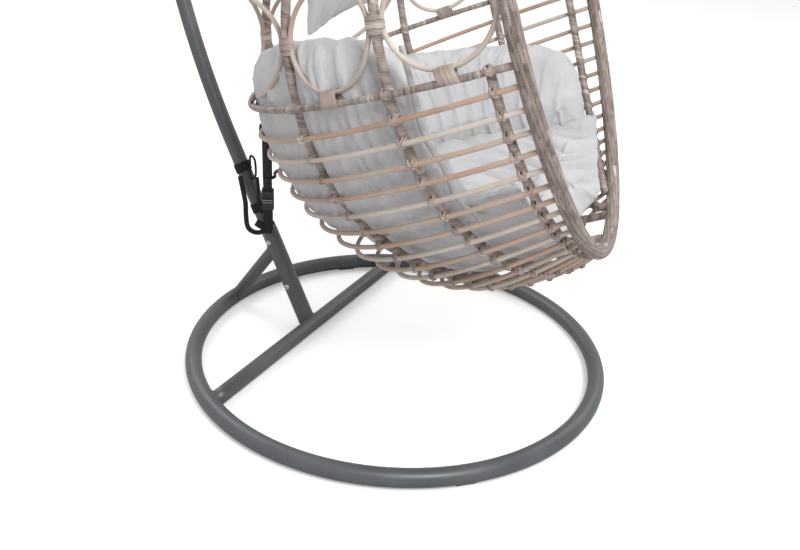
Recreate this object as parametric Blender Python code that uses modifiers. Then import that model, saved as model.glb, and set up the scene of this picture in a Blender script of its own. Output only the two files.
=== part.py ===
"""Hanging egg chair on a round tube stand, as separate named pieces.

Metres, +Z up.  Origin: middle of the whole chair's footprint, on the floor.
The stand's post rises at +Y (rear) and the stand's front is -Y.
The seat shell is drawn in its own frame (x across, y rearward, z along the
shell's axis) and hung under an empty on the hook axis, turned and leaned back
to its rest attitude.
"""
import bpy
import bmesh
from math import sin, cos, pi, radians, degrees, sqrt, acos
from mathutils import Vector, Matrix

# ------------------------------------------------------------------ stand dimensions
FLOOR_GAP = 0.002            # ring held off the floor by its glides
RING_R = 0.505               # floor ring centreline radius
RING_TUBE = 0.020            # floor ring tube radius
RING_Z = RING_TUBE + FLOOR_GAP
RING_STEPS = 52
GLIDE_SIZE = (0.014, 0.046, 0.010)   # radial, along the ring, height
COPE_GAP = 0.0004            # clearance where one tube is cut to fit another
BAR_Y = 0.245                # chord cross bar position
BAR_TUBE = 0.0190
SOCKET_FOOT = Vector((0, 0.268, 0.020 + FLOOR_GAP))
SOCKET_TOP = Vector((0, 0.400, 0.259 + FLOOR_GAP))
SOCKET_DIR = (SOCKET_TOP - SOCKET_FOOT).normalized()
SOCKET_R = 0.0218
BORE_GAP = 0.0006            # socket bore over the post
BORE_EXTRA = 0.006           # bore depth past the post's end
BRACE_FOOT = Vector((0, RING_R, RING_Z))
BRACE_TOP = Vector((0, 0.372, 0.205 + FLOOR_GAP))
BRACE_DIR = (BRACE_TOP - BRACE_FOOT).normalized()
BRACE_R = 0.0165
BRACE_OVERRUN = 0.012        # length added at the top, before the socket cut
BOLT_R = 0.0078
BOLT_FLATTEN = 0.62
BOLT_STATIONS = (0.105, 0.232)       # along the socket from its foot

POST_R = 0.0190
POST_INSERT = 0.085          # length of post inside the socket
POST_LEAN = 28.9             # degrees from vertical, rearward, at the socket
POST_STRAIGHT = 0.25
POST_LEAN_2 = 19.5           # lean where the overhead bend starts
POST_SLOW = 0.38             # length over which the lean eases
POST_BEND_R = 0.80           # overhead bend radius
POST_SPLIT = 0.80            # path length at the joint of the two tubes
POST_STEP = 0.045            # spacing of the path's points
POST_FINE_STEP = 0.005       # integration step
POST_OVERHANG = 0.030        # post runs on past the hook axis
SPLIT_GAP = 0.0018           # between the two tubes
HOOK_Y = -0.055              # hook axis

# ------------------------------------------------------------------ shell dimensions
YAW = 11.2                   # seat turned on its swivel at rest, degrees
PITCH = 17.5                 # seat leans back at rest, degrees
SHELL_AT = (-0.0113, -0.0027, FLOOR_GAP)
BOWL_CENTRE = Vector((0, -0.33, 0.80))   # a point well inside, to orient normals

RIM_W = 0.520                # half width of the opening
RIM_MID = 0.900              # height of the widest level (shell frame)
RIM_DOWN, RIM_UP = 0.638, 0.460
RIM_F = 0.600                # the opening's plane
RIM_BEND_Z = 0.95            # above this the rim curves rearward
RIM_BEND_H = 0.41
RIM_BEND_BACK = 0.10         # rearward curve at RIM_BEND_H higher
RIM_R = 0.0150
RIM_STEPS = 60
BACK_A = 0.475               # rear profile, below
BACK_B = 0.514
BACK_C = (0.330, 0.720)      # its centre: forward, up
BOTTOM_SCALE = 0.0307        # run under the bowl, per degree past 90
BOTTOM_FORWARD = 0.27
BOTTOM_RISE = 0.056
DOME_A = 0.625               # rear profile, above
DOME_B = 0.650
DOME_F = 0.480               # its centre, forward
SECTION = 0.90               # where a level is widest, share of its depth
PHI_RIM = degrees(acos((SECTION - 1) / SECTION))   # section angle at the rim

ROD_R = 0.0054
RIB_R = 0.0092
BAND_R = 0.0068
LOOP_R = 0.0052
RODS = 17
RIB_PHI = (50.3, 73.5, 91.2)
GAP = 0.0005
ROD_OFFSET = RIB_R + ROD_R + GAP     # rib centreline inside the rods
BAND_OFFSET = RIB_R + BAND_R + GAP   # rib centreline inside the band
ROW_LEVELS = (-2.32, -4.62, -6.55)   # middles of the three rows of loops
CROWN_R = 0.066
CROWN_H = 0.040
CROWN = Vector((0, -0.490, 1.352))


# ------------------------------------------------------------------ clean start
for old_object in list(bpy.data.objects):
    bpy.data.objects.remove(old_object, do_unlink=True)
for old_collection in list(bpy.data.collections):
    bpy.data.collections.remove(old_collection)
CHAIR = bpy.data.collections.new("hanging_egg_chair")
bpy.context.scene.collection.children.link(CHAIR)


# ------------------------------------------------------------------ materials
CANE_COLOURS = (
    (0.58, 0.36, 0.24), (0.62, 0.53, 0.46), (0.50, 0.38, 0.30),
    (0.55, 0.40, 0.33), (0.64, 0.55, 0.48),
)


def material(name, rgb, roughness, metallic=0.0):
    mat = bpy.data.materials.new(name)
    mat.use_nodes = True
    inputs = mat.node_tree.nodes["Principled BSDF"].inputs
    inputs["Base Color"].default_value = (*rgb, 1.0)
    inputs["Roughness"].default_value = roughness
    inputs["Metallic"].default_value = metallic
    mat.diffuse_color = (*rgb, 1.0)
    return mat


def steel(part):
    return material("powder_coat_" + part, rgb=(0.115, 0.130, 0.145), roughness=0.45, metallic=0.2)


def bright(name):
    return material(name, rgb=(0.62, 0.63, 0.64), roughness=0.28, metallic=1.0)


def wrap(name):
    return material(name, rgb=(0.40, 0.33, 0.28), roughness=0.55)


def black(name):
    return material(name, rgb=(0.012, 0.012, 0.014), roughness=0.6)


def cloth(name):
    return material(name, rgb=(0.60, 0.60, 0.63), roughness=0.9)


def cane(name, shade):
    return material(name, rgb=CANE_COLOURS[shade % len(CANE_COLOURS)], roughness=0.5)


# ------------------------------------------------------------------ object helpers
# Objects made without a material are only used to cut or join others.
def put(obj, mat, parent=None, loc=None):
    CHAIR.objects.link(obj)
    obj.data.materials.clear()
    if mat is not None:
        obj.data.materials.append(mat)
    if parent is not None:
        obj.parent = parent
        obj.location = loc
    return obj


def smooth(obj):
    for face in obj.data.polygons:
        face.use_smooth = True


def tube(name, path, radius, mat=None, parent=None, loc=None, closed=False, res=2):
    """Round tube along a path, kept as a bevelled curve."""
    curve = bpy.data.curves.new(name, "CURVE")
    curve.dimensions = "3D"
    spline = curve.splines.new("POLY")
    spline.points.add(len(path) - 1)
    for point, co in zip(spline.points, path):
        point.co = (*co, 1.0)
    spline.use_cyclic_u = closed
    spline.use_smooth = True
    curve.bevel_depth = radius
    curve.bevel_resolution = res
    curve.use_fill_caps = not closed
    return put(bpy.data.objects.new(name, curve), mat, parent, loc)


def evaluated_mesh(obj):
    bpy.context.view_layer.update()
    depsgraph = bpy.context.evaluated_depsgraph_get()
    return bpy.data.meshes.new_from_object(obj.evaluated_get(depsgraph))


def to_mesh(obj):
    """Turn a curve object into a welded mesh object with the same name."""
    mesh = evaluated_mesh(obj)
    bm = bmesh.new()
    bm.from_mesh(mesh)
    bmesh.ops.remove_doubles(bm, verts=bm.verts, dist=1e-5)
    bmesh.ops.recalc_face_normals(bm, faces=bm.faces)
    bm.to_mesh(mesh)
    bm.free()
    name, parent, loc = obj.name, obj.parent, obj.location.copy()
    mats = list(obj.data.materials)
    bpy.data.objects.remove(obj, do_unlink=True)
    new = put(bpy.data.objects.new(name, mesh), mats[0] if mats else None, parent, loc)
    smooth(new)
    return new


def from_bm(name, bm, mat, parent=None, loc=None, shade=True):
    mesh = bpy.data.meshes.new(name)
    bmesh.ops.recalc_face_normals(bm, faces=bm.faces)
    bm.to_mesh(mesh)
    bm.free()
    obj = put(bpy.data.objects.new(name, mesh), mat, parent, loc)
    if shade:
        smooth(obj)
    return obj


def cylinder(name, start, end, radius, mat=None, seg=20, end_radius=None, parent=None, loc=None):
    """Capped cylinder or cone between two points."""
    axis = end - start
    frame = Matrix.Translation((start + end) / 2) @ axis.to_track_quat("Z", "Y").to_matrix().to_4x4()
    bm = bmesh.new()
    bmesh.ops.create_cone(
        bm, cap_ends=True, segments=seg, radius1=radius,
        radius2=radius if end_radius is None else end_radius, depth=axis.length, matrix=frame)
    return from_bm(name, bm, mat, parent, loc)


def box(name, size, matrix, mat=None):
    bm = bmesh.new()
    bmesh.ops.create_cube(bm, size=1.0, matrix=matrix @ Matrix.Diagonal((*size, 1.0)))
    return from_bm(name, bm, mat, shade=False)


def boolean(obj, other, operation):
    """Apply a boolean to obj, keep its first material and remove the other object."""
    mod = obj.modifiers.new("bool", "BOOLEAN")
    mod.operation = operation
    mod.solver = "EXACT"
    mod.object = other
    mesh = evaluated_mesh(obj)
    obj.modifiers.clear()
    bm = bmesh.new()
    bm.from_mesh(mesh)
    bmesh.ops.remove_doubles(bm, verts=bm.verts, dist=2e-6)
    bm.to_mesh(mesh)
    bm.free()
    mat = obj.data.materials[0] if obj.data.materials else None
    mesh.materials.clear()
    if mat is not None:
        mesh.materials.append(mat)
    for face in mesh.polygons:
        face.material_index = 0
    obj.data = mesh
    bpy.data.objects.remove(other, do_unlink=True)


def cut(obj, other):
    boolean(obj, other, "DIFFERENCE")


def join(obj, other):
    boolean(obj, other, "UNION")


def sleeve(name, middle, direction, half, bore_half, outer, bore, mat, seg=20, **seat):
    """Short open cylinder round an axis; the bore cutter runs out of both ends."""
    def bar(bar_name, reach, radius, bar_mat=None):
        start, end = middle - direction * reach, middle + direction * reach
        return cylinder(bar_name, start, end, radius, bar_mat, seg=seg, **seat)
    obj = bar(name, half, outer, mat)
    cut(obj, bar("cut_sleeve", bore_half, bore))
    return obj


def delete_verts(obj, unwanted, fill=False):
    """Delete the vertices that satisfy unwanted(co), optionally closing open edges."""
    bm = bmesh.new()
    bm.from_mesh(obj.data)
    bmesh.ops.delete(bm, geom=[v for v in bm.verts if unwanted(v.co)], context="VERTS")
    open_edges = [edge for edge in bm.edges if edge.is_boundary]
    if fill and open_edges:
        bmesh.ops.holes_fill(bm, edges=open_edges)
    bm.to_mesh(obj.data)
    bm.free()


def keep_largest_island(obj):
    bm = bmesh.new()
    bm.from_mesh(obj.data)
    seen, islands = set(), []
    for seed in bm.verts:
        if seed in seen:
            continue
        stack, island = [seed], []
        seen.add(seed)
        while stack:
            vert = stack.pop()
            island.append(vert)
            for edge in vert.link_edges:
                other = edge.other_vert(vert)
                if other not in seen:
                    seen.add(other)
                    stack.append(other)
        islands.append(island)
    largest = set(max(islands, key=len))
    bmesh.ops.delete(bm, geom=[v for v in bm.verts if v not in largest], context="VERTS")
    bm.to_mesh(obj.data)
    bm.free()


def angles(start, sweep, steps):
    return [start + sweep * i / steps for i in range(steps + 1)]


def arc_xz(radius, z, turns):
    """Points on a circle in the XZ plane of the hook axis."""
    return [Vector((radius * cos(q), HOOK_Y, z + radius * sin(q))) for q in turns]


def arc_yz(radius, z, turns):
    """Points on a circle in the YZ plane, centred on the hook axis."""
    return [Vector((0, HOOK_Y + radius * cos(q), z + radius * sin(q))) for q in turns]


# ------------------------------------------------------------------ floor ring, bar, socket
def ring_tube(name, radius, mat=None):
    path = [Vector((RING_R * cos(q), RING_R * sin(q), RING_Z))
            for q in angles(0, 2 * pi, RING_STEPS)[:-1]]
    return tube(name, path, radius, mat, closed=True, res=4)


def ring_cutter():
    return to_mesh(ring_tube("cut_ring", RING_TUBE + COPE_GAP))


def floor_glides():
    for i, angle in enumerate((45, 135, 225, 315), start=1):
        place = (Matrix.Rotation(radians(angle), 4, "Z")
                 @ Matrix.Translation((RING_R, 0, GLIDE_SIZE[2] / 2)))
        cut(box(f"floor_glide_{i}", GLIDE_SIZE, place, black(f"glide_{i}")), ring_cutter())


def cross_bar():
    half = sqrt(RING_R ** 2 - BAR_Y ** 2)
    bar = cylinder("cross_bar", Vector((-half, BAR_Y, RING_Z)), Vector((half, BAR_Y, RING_Z)),
                   BAR_TUBE, steel("bar"), seg=18)
    cut(bar, ring_cutter())
    # the offcuts outside the ring
    delete_verts(bar, lambda co: co.x ** 2 + co.y ** 2 > RING_R ** 2)


def post_socket():
    socket = cylinder("post_socket", SOCKET_FOOT, SOCKET_TOP, SOCKET_R, steel("socket"))
    cut(socket, cylinder("cut_bore", SOCKET_TOP - SOCKET_DIR * (POST_INSERT + BORE_EXTRA),
                         SOCKET_TOP + SOCKET_DIR * 0.01, POST_R + BORE_GAP))
    cut(socket, cylinder("cut_cope", Vector((-0.2, BAR_Y, RING_Z)), Vector((0.2, BAR_Y, RING_Z)),
                         BAR_TUBE + COPE_GAP, seg=24))

    def beyond_bar(co):
        past_axis = (co - Vector((co.x, BAR_Y, RING_Z))).dot(SOCKET_DIR) < 0
        return past_axis and (co - SOCKET_FOOT).dot(SOCKET_DIR) < 0.004
    delete_verts(socket, beyond_bar, fill=True)


def rear_brace():
    """Tube from the rear of the ring up to the socket, cut to fit both."""
    brace = cylinder("rear_brace", BRACE_FOOT, BRACE_TOP + BRACE_DIR * BRACE_OVERRUN, BRACE_R,
                     steel("brace"), seg=18)
    cut(brace, ring_cutter())
    cut(brace, cylinder("cut_brace_top", SOCKET_FOOT - SOCKET_DIR * 0.05,
                        SOCKET_TOP + SOCKET_DIR * 0.05, SOCKET_R + COPE_GAP, seg=40))

    def ring_offcut(co):
        reach = co - BRACE_FOOT
        return reach.dot(BRACE_DIR) < 0.008 and reach.y > -0.004 and co.z < RING_Z + 0.004
    delete_verts(brace, ring_offcut)
    keep_largest_island(brace)


def socket_bolts():
    """Domed heads on the -X side of the socket."""
    for i, station in enumerate(BOLT_STATIONS, start=1):
        centre = SOCKET_FOOT + SOCKET_DIR * station
        bm = bmesh.new()
        bmesh.ops.create_uvsphere(bm, u_segments=14, v_segments=8, radius=BOLT_R)
        bmesh.ops.bisect_plane(
            bm, geom=bm.verts[:] + bm.edges[:] + bm.faces[:],
            plane_co=(0, 0, 0.0006), plane_no=(0, 0, 1), clear_inner=True)
        bmesh.ops.holes_fill(bm, edges=[edge for edge in bm.edges if edge.is_boundary])
        bmesh.ops.scale(bm, verts=bm.verts, vec=(1, 1, BOLT_FLATTEN))
        bmesh.ops.rotate(bm, verts=bm.verts, cent=(0, 0, 0), matrix=Matrix.Rotation(-pi / 2, 3, "Y"))
        flat_x = max(v.co.x for v in bm.verts)
        shift = (-SOCKET_R - COPE_GAP - flat_x + centre.x, centre.y, centre.z)
        bmesh.ops.translate(bm, verts=bm.verts, vec=shift)
        from_bm(f"socket_bolt_{i}", bm, bright(f"bolt_{i}"))


ring_tube("floor_ring", RING_TUBE, steel("ring"))
floor_glides()
cross_bar()
post_socket()
rear_brace()
socket_bolts()


# ------------------------------------------------------------------ post
def post_path():
    """Centreline of the post: straight, easing, then the overhead bend."""
    point = SOCKET_TOP - SOCKET_DIR * POST_INSERT
    travelled, path = 0.0, [point.copy()]
    lean = radians(POST_LEAN)
    slow_rate = radians(POST_LEAN - POST_LEAN_2) / POST_SLOW
    ease_start = POST_INSERT + POST_STRAIGHT
    next_mark = POST_STEP
    while True:
        if travelled < ease_start:
            rate = 0.0
        elif travelled < ease_start + POST_SLOW:
            rate = slow_rate
        else:
            rate = 1.0 / POST_BEND_R
        mid_lean = lean - rate * POST_FINE_STEP / 2
        point = point + Vector((0, sin(mid_lean), cos(mid_lean))) * POST_FINE_STEP
        lean -= rate * POST_FINE_STEP
        travelled += POST_FINE_STEP
        if travelled + 1e-9 >= next_mark:
            path.append(point.copy())
            next_mark += POST_STEP
        if point.y < HOOK_Y - POST_OVERHANG and lean < 0:
            if (path[-1] - point).length > 0.004:
                path.append(point.copy())
            return path


def post(path):
    split = int(round(POST_SPLIT / POST_STEP))
    joint = path[split]
    joint_dir = (path[split + 1] - joint).normalized()
    lower = path[: split + 1]
    # the straight length needs only its two ends
    straight_end = POST_INSERT + POST_STRAIGHT - 0.02
    straight = [p for p in lower if (p - lower[0]).length < straight_end]
    lower = [lower[0]] + lower[len(straight) - 1:]
    upper = [joint + joint_dir * SPLIT_GAP] + path[split + 1:]
    tube("post_lower", lower, POST_R, steel("post_lower"), res=3)
    tube("post_upper", upper, POST_R, steel("post_upper"), res=3)
    end = path[-1]
    end_dir = (end - path[-2]).normalized()
    cylinder("end_plug", end + end_dir * 0.0005, end + end_dir * 0.007, POST_R - 0.0006,
             black("end_plug"), seg=16, end_radius=POST_R - 0.004)
    sleeve("post_sleeve", joint, joint_dir, half=0.024, bore_half=0.06,
           outer=POST_R + 0.0042, bore=POST_R + 0.0018, mat=steel("sleeve"))


def post_height_at_hook(path):
    """Height of the overhead part of the centreline at the hook axis."""
    nearest = min(range(len(path)),
                  key=lambda i: abs(path[i].y - HOOK_Y) + (10 if path[i].z < 1.5 else 0))
    before, after = path[nearest - 1], path[min(nearest + 1, len(path) - 1)]
    share = (HOOK_Y - before.y) / (after.y - before.y)
    return before.z + (after.z - before.z) * share


POST_PATH = post_path()
post(POST_PATH)

# ------------------------------------------------------------------ hanging lug
LUG_SIZE = (0.008, 0.034, 0.034)
LUG_HOLE_R = 0.0095
LUG_TOP = post_height_at_hook(POST_PATH) - POST_R - 0.0008
HOLE_Z = LUG_TOP - 0.020

lug = box("hang_lug", LUG_SIZE,
          Matrix.Translation((0, HOOK_Y, LUG_TOP - LUG_SIZE[2] / 2 - 0.0012)), steel("lug"))
cut(lug, cylinder("cut_lug", Vector((-0.02, HOOK_Y, HOLE_Z)), Vector((0.02, HOOK_Y, HOLE_Z)),
                  LUG_HOLE_R, seg=24))

# ------------------------------------------------------------------ snap hook
# Open loop in the XZ plane; the missing part of its +X side is the gate.
HOOK_WIRE = 0.0042
HOOK_BEND = 0.0150
HOOK_STRAIGHT = 0.052
HOOK_HIGH = HOLE_Z - LUG_HOLE_R + HOOK_WIRE + 0.0013 - HOOK_BEND   # upper bend's centre
HOOK_LOW = HOOK_HIGH - HOOK_STRAIGHT                               # lower bend's centre
HOOK_BOTTOM = HOOK_LOW - HOOK_BEND
GATE_TOP, GATE_BOTTOM = HOOK_HIGH - 0.004, HOOK_LOW + 0.006


def hook_side(z):
    return Vector((HOOK_BEND, HOOK_Y, z))


tube("snap_hook",
     [hook_side(GATE_TOP + 0.0008)]
     + arc_xz(HOOK_BEND, HOOK_HIGH, angles(0, pi, 12))
     + arc_xz(HOOK_BEND, HOOK_LOW, angles(pi, pi, 12))
     + [hook_side(GATE_BOTTOM - 0.0008)],
     HOOK_WIRE, bright("hook_zinc"))
tube("snap_gate", [hook_side(GATE_BOTTOM + 0.0002), hook_side(GATE_TOP - 0.0002)],
     HOOK_WIRE * 0.9, bright("gate_zinc"))

# ------------------------------------------------------------------ swivel
BOW_WIRE = 0.0038
BOW_R = 0.0120
BOW_ROOT = 0.004             # bow legs run this far into the housing
UPPER_BOW_Z = HOOK_BOTTOM + HOOK_WIRE + BOW_WIRE + 0.0005 - BOW_R
UPPER_TOP = UPPER_BOW_Z - 0.018
UPPER_BOTTOM = UPPER_TOP - 0.020
LOWER_TOP = UPPER_BOTTOM - 0.0006
LOWER_BOTTOM = LOWER_TOP - 0.010
LOWER_BOW_Z = LOWER_BOTTOM - 0.014


def swivel_half(name, bottom, top, radius, root_z, bow_z, sweep):
    """Round housing with a wire bow in the YZ plane."""
    housing = cylinder(name, Vector((0, HOOK_Y, bottom)), Vector((0, HOOK_Y, top)), radius,
                       bright(name + "_zinc"))
    path = ([Vector((0, HOOK_Y + BOW_R, root_z))]
            + arc_yz(BOW_R, bow_z, angles(0, sweep, 10))
            + [Vector((0, HOOK_Y - BOW_R, root_z))])
    join(housing, to_mesh(tube("bow", path, BOW_WIRE)))


# the upper bow passes over the snap hook's bottom wire, the lower one holds the spring
swivel_half("swivel_upper", UPPER_BOTTOM, UPPER_TOP, 0.0165,
            UPPER_TOP - BOW_ROOT, UPPER_BOW_Z, pi)
swivel_half("swivel_lower", LOWER_BOTTOM, LOWER_TOP, 0.0150,
            LOWER_BOTTOM + BOW_ROOT, LOWER_BOW_Z, -pi)

# ------------------------------------------------------------------ seat frame
SEAT_TURN = Matrix.Rotation(radians(YAW), 4, "Z") @ Matrix.Rotation(radians(-PITCH), 4, "X")
SHELL_FRAME = Matrix.Translation(SHELL_AT) @ SEAT_TURN
PIVOT_FRAME = Matrix.Translation((0, HOOK_Y, HOOK_BOTTOM)) @ SEAT_TURN
SHELL_OFFSET = (PIVOT_FRAME.inverted() @ SHELL_FRAME).to_translation()

seat_pivot = bpy.data.objects.new("seat_pivot", None)
CHAIR.objects.link(seat_pivot)
seat_pivot.matrix_world = PIVOT_FRAME


def hung(make, *args, **options):
    """Make a piece in the shell's frame, parented to the seat pivot."""
    return make(*args, parent=seat_pivot, loc=SHELL_OFFSET, **options)


# ------------------------------------------------------------------ coil spring
SPRING_WIRE = 0.0030
SPRING_R = 0.0165
SPRING_TURNS = 8
SPRING_TURN_STEPS = 8
END_RING_R = 0.0115
END_RING_SWEEP = 318         # degrees
LINK_GAP = 0.0006            # between the spring's end rings and what they hook
RING_TO_COIL = 0.006
EYE_R = 0.020
EYE_WIRE = 0.0044
CROWN_TOP_Z = (SHELL_FRAME @ (CROWN + Vector((0, 0, CROWN_H / 2)))).z
EYE_Z = CROWN_TOP_Z + 0.012 + EYE_R


def coil_spring():
    """Coil with a ring-shaped hook in the XZ plane at each end."""
    top_ring = LOWER_BOW_Z - BOW_R + BOW_WIRE + SPRING_WIRE + LINK_GAP - END_RING_R
    bottom_ring = EYE_Z + EYE_R - EYE_WIRE - SPRING_WIRE - LINK_GAP + END_RING_R
    coil_top = top_ring - END_RING_R - RING_TO_COIL
    coil_bottom = bottom_ring + END_RING_R + RING_TO_COIL
    sweep = radians(END_RING_SWEEP)
    path = arc_xz(END_RING_R, top_ring, angles(radians(-48), sweep, 14))
    steps = SPRING_TURNS * SPRING_TURN_STEPS
    for i in range(steps + 1):
        q = 2 * pi * i / SPRING_TURN_STEPS
        # the coil opens from the axis over four steps and closes the same way
        radius = SPRING_R * min(1.0, i / 4, (steps - i) / 4)
        z = coil_top - (coil_top - coil_bottom) * i / steps
        path.append(Vector((radius * cos(q), HOOK_Y + radius * sin(q), z)))
    path += arc_xz(END_RING_R, bottom_ring, angles(radians(90), -sweep, 14))
    tube("coil_spring", path, SPRING_WIRE, bright("spring_zinc"), res=1)


coil_spring()


# ------------------------------------------------------------------ shell surface
# A point on the shell has a level (0 is the first rod, -1 the band, -11 the apex)
# and a section angle phi in degrees: 0 at the rear, PHI_RIM at the rim.
def rim_point(angle):
    """Forward, half width and height of the opening's edge."""
    up = RIM_MID + (RIM_UP if angle > 0 else RIM_DOWN) * sin(radians(angle))
    forward = RIM_F
    if up > RIM_BEND_Z:
        forward -= RIM_BEND_BACK * ((up - RIM_BEND_Z) / RIM_BEND_H) ** 2
    return forward, RIM_W * cos(radians(angle)), up


def back_point(angle):
    """Forward and height of the rear profile: dome, bowl, then the run underneath."""
    if angle <= 0:
        return (DOME_F - DOME_A * cos(radians(angle)),
                BACK_C[1] - DOME_B * sin(radians(angle)))
    if angle <= 90:
        return (BACK_C[0] - BACK_A * cos(radians(angle)),
                BACK_C[1] - BACK_B * sin(radians(angle)))
    run = (angle - 90) * BOTTOM_SCALE
    return BACK_C[0] + BOTTOM_FORWARD * run, BACK_C[1] - BACK_B + BOTTOM_RISE * run * run


def level_angles(level):
    """Rim angle and rear angle of a level, in degrees."""
    if level >= 0:
        return (-12.5 - 4.35 * level + 0.0445 * level * level,
                5.6 + 5.6 * level + 0.05 * level * level)
    if level >= -1:
        return -12.5 - 3.5 * level, 5.6 + 8.1 * level
    share = (-1 - level) / 10    # 0 at the band, 1 at the apex
    return -9 + 99 * share, -2.5 - 87.5 * share


def surface(level, phi):
    rim_angle, rear_angle = level_angles(level)
    rim_forward, half_width, rim_up = rim_point(rim_angle)
    rear_forward, rear_up = back_point(rear_angle)
    depth = SECTION * (1 - cos(radians(phi)))
    across = half_width / sin(radians(PHI_RIM)) * sin(radians(phi))
    return Vector((across, -(rear_forward + (rim_forward - rear_forward) * depth),
                   rear_up + (rim_up - rear_up) * depth))


def normal(level, phi):
    """Unit normal pointing out of the bowl, from central differences."""
    level_step, phi_step = 0.05, 0.5
    along = surface(level, phi + phi_step) - surface(level, phi - phi_step)
    down = surface(level + level_step, phi) - surface(level - level_step, phi)
    out = along.cross(down)
    if out.length < 1e-12:
        out = Vector((0, 0, 1))
    out.normalize()
    if out.dot(surface(level, phi) - BOWL_CENTRE) < 0:
        out = -out
    return out


def inner(level, phi, offset):
    """Point set inside the shell surface by an offset."""
    return surface(level, phi) - normal(level, phi) * offset


# ------------------------------------------------------------------ opening rim
def crown_distance(point):
    return sqrt(point.x ** 2 + (point.y - CROWN.y) ** 2)


def trim_start(path, limit):
    """Trim the start of a path back to a distance from the crown's axis."""
    while len(path) > 2 and crown_distance(path[0]) < limit and crown_distance(path[1]) < limit:
        path.pop(0)
    if crown_distance(path[0]) >= limit:
        return
    outside, inside = path[1], path[0]
    low, high = 0.0, 1.0
    for _ in range(40):
        mid = (low + high) / 2
        if crown_distance(outside + (inside - outside) * mid) > limit:
            low = mid
        else:
            high = mid
    path[0] = outside + (inside - outside) * low
    if (path[0] - path[1]).length < 0.006:
        path.pop(1)


def trim_at_crown(path, clearance):
    """Trim either end of a path that runs into the crown's side."""
    path = list(path)
    for _ in range(2):
        trim_start(path, CROWN_R + clearance)
        path.reverse()
    return path


def rim_path():
    """From the crown round the opening and back to the crown."""
    points = []
    for i in range(RIM_STEPS):
        angle, side = -90 + 360 * i / RIM_STEPS, 1
        if angle > 90:
            angle, side = 180 - angle, -1
        forward, half_width, up = rim_point(angle)
        points.append(Vector((side * half_width, -forward, up)))
    highest = max(range(RIM_STEPS), key=lambda i: points[i].z)
    return trim_at_crown(points[highest + 1:] + points[:highest], 0.0050)


RIM_PATH = rim_path()
hung(tube, "opening_rim", RIM_PATH, RIM_R, wrap("rim_wrap"))


def rim_distance(point):
    """Distance from a point to the rim's centreline."""
    best = 9.0
    for start, end in zip(RIM_PATH, RIM_PATH[1:]):
        run = end - start
        share = max(0.0, min(1.0, (point - start).dot(run) / run.dot(run)))
        best = min(best, (point - start - run * share).length)
    return best


# ------------------------------------------------------------------ rods and band
def phi_at_rim(level, clearance):
    """Largest section angle on a level that stays clear of the rim."""
    if rim_distance(surface(level, PHI_RIM)) > clearance:
        return PHI_RIM
    low, high = 60.0, PHI_RIM
    for _ in range(40):
        mid = (low + high) / 2
        if rim_distance(surface(level, mid)) > clearance:
            low = mid
        else:
            high = mid
    return low


def hoop(name, level, radius, mat, res=1):
    """Bent rod on a level, from one side of the rim round the rear to the other."""
    end = phi_at_rim(level, RIM_R + radius * 0.35 + 0.0022)
    marks = [0, 17, 34, RIB_PHI[0], 62, RIB_PHI[1], 82]
    if end > RIB_PHI[2] + 1.2:
        marks.append(RIB_PHI[2])
    marks = [mark for mark in marks if mark < end - 1.0] + [end]
    phis = [-mark for mark in reversed(marks[1:])] + marks
    hung(tube, name, [surface(level, phi) for phi in phis], radius, mat, res=res)


for k in range(RODS):
    hoop(f"rod_{k + 1:02d}", k, ROD_R, cane(f"cane_{k + 1:02d}", k))
hoop("band_hoop", -1, BAND_R, wrap("band_wrap"), res=2)

# ------------------------------------------------------------------ ribs
LOW_LEVELS = [float(k) for k in range(RODS)] + [16.55]
HIGH_LEVELS = [-10.4, -9.4, -8.4, -7.5]
for row_level in reversed(ROW_LEVELS):
    if row_level != ROW_LEVELS[2]:
        HIGH_LEVELS.append(row_level - 1.1)
    HIGH_LEVELS += [row_level - 0.24, row_level + 0.24]
HIGH_LEVELS.append(-1.0)


def rib(name, phi, to_crown):
    """Wrapped rib inside the rods, starting at the crown or just below the band."""
    if to_crown:
        path = [inner(level, phi, BAND_OFFSET) for level in HIGH_LEVELS]
    else:
        path = [inner(-0.62, phi, ROD_OFFSET + 0.0008)]
    for level in LOW_LEVELS:
        point = inner(level, phi, ROD_OFFSET)
        if rim_distance(point) < RIM_R + RIB_R + 0.0035:
            break
        path.append(point)
    if to_crown:
        path = trim_at_crown(path, 0.0040)
    hung(tube, name, path, RIB_R, wrap(name + "_wrap"))


rib("rib_rear", 0.0, True)
for j, rib_phi in enumerate(RIB_PHI):
    for sign, side_name in ((-1, "left"), (1, "right")):
        rib(f"rib_{j + 1}_{side_name}", sign * rib_phi, j < 2)


# ------------------------------------------------------------------ rows of loops
# Bent-rod loops between the ribs, joined by the wrapped sleeves on the ribs.
LOOP_STEPS = 14
LOOP_BANDS = (               # section angles each loop lies between
    (-RIB_PHI[0], 0.0), (0.0, RIB_PHI[0]),
    (-RIB_PHI[1], -RIB_PHI[0]), (RIB_PHI[0], RIB_PHI[1]),
    (-PHI_RIM, -RIB_PHI[1]), (RIB_PHI[1], PHI_RIM),
)
SLEEVE_PHI = (0.0, RIB_PHI[0], -RIB_PHI[0], RIB_PHI[1], -RIB_PHI[1])


def loop_edge(level, edge, step):
    """Step from a rib or the rim until a loop's rod clears it."""
    at_rim = abs(abs(edge) - PHI_RIM) < 0.01
    if at_rim:
        clearance = RIM_R + LOOP_R + GAP + 0.0006
    else:
        clearance = RIB_R + LOOP_R + GAP + 0.0003
        rib_line = [inner(level + d, edge, BAND_OFFSET) for d in (-0.4, -0.2, 0, 0.2, 0.4)]
    phi = edge
    for _ in range(400):
        point = inner(level, phi, BAND_OFFSET)
        if at_rim:
            distance = rim_distance(point)
        else:
            distance = min((point - other).length for other in rib_line)
        if distance >= clearance:
            break
        phi += step
    return phi


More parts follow.
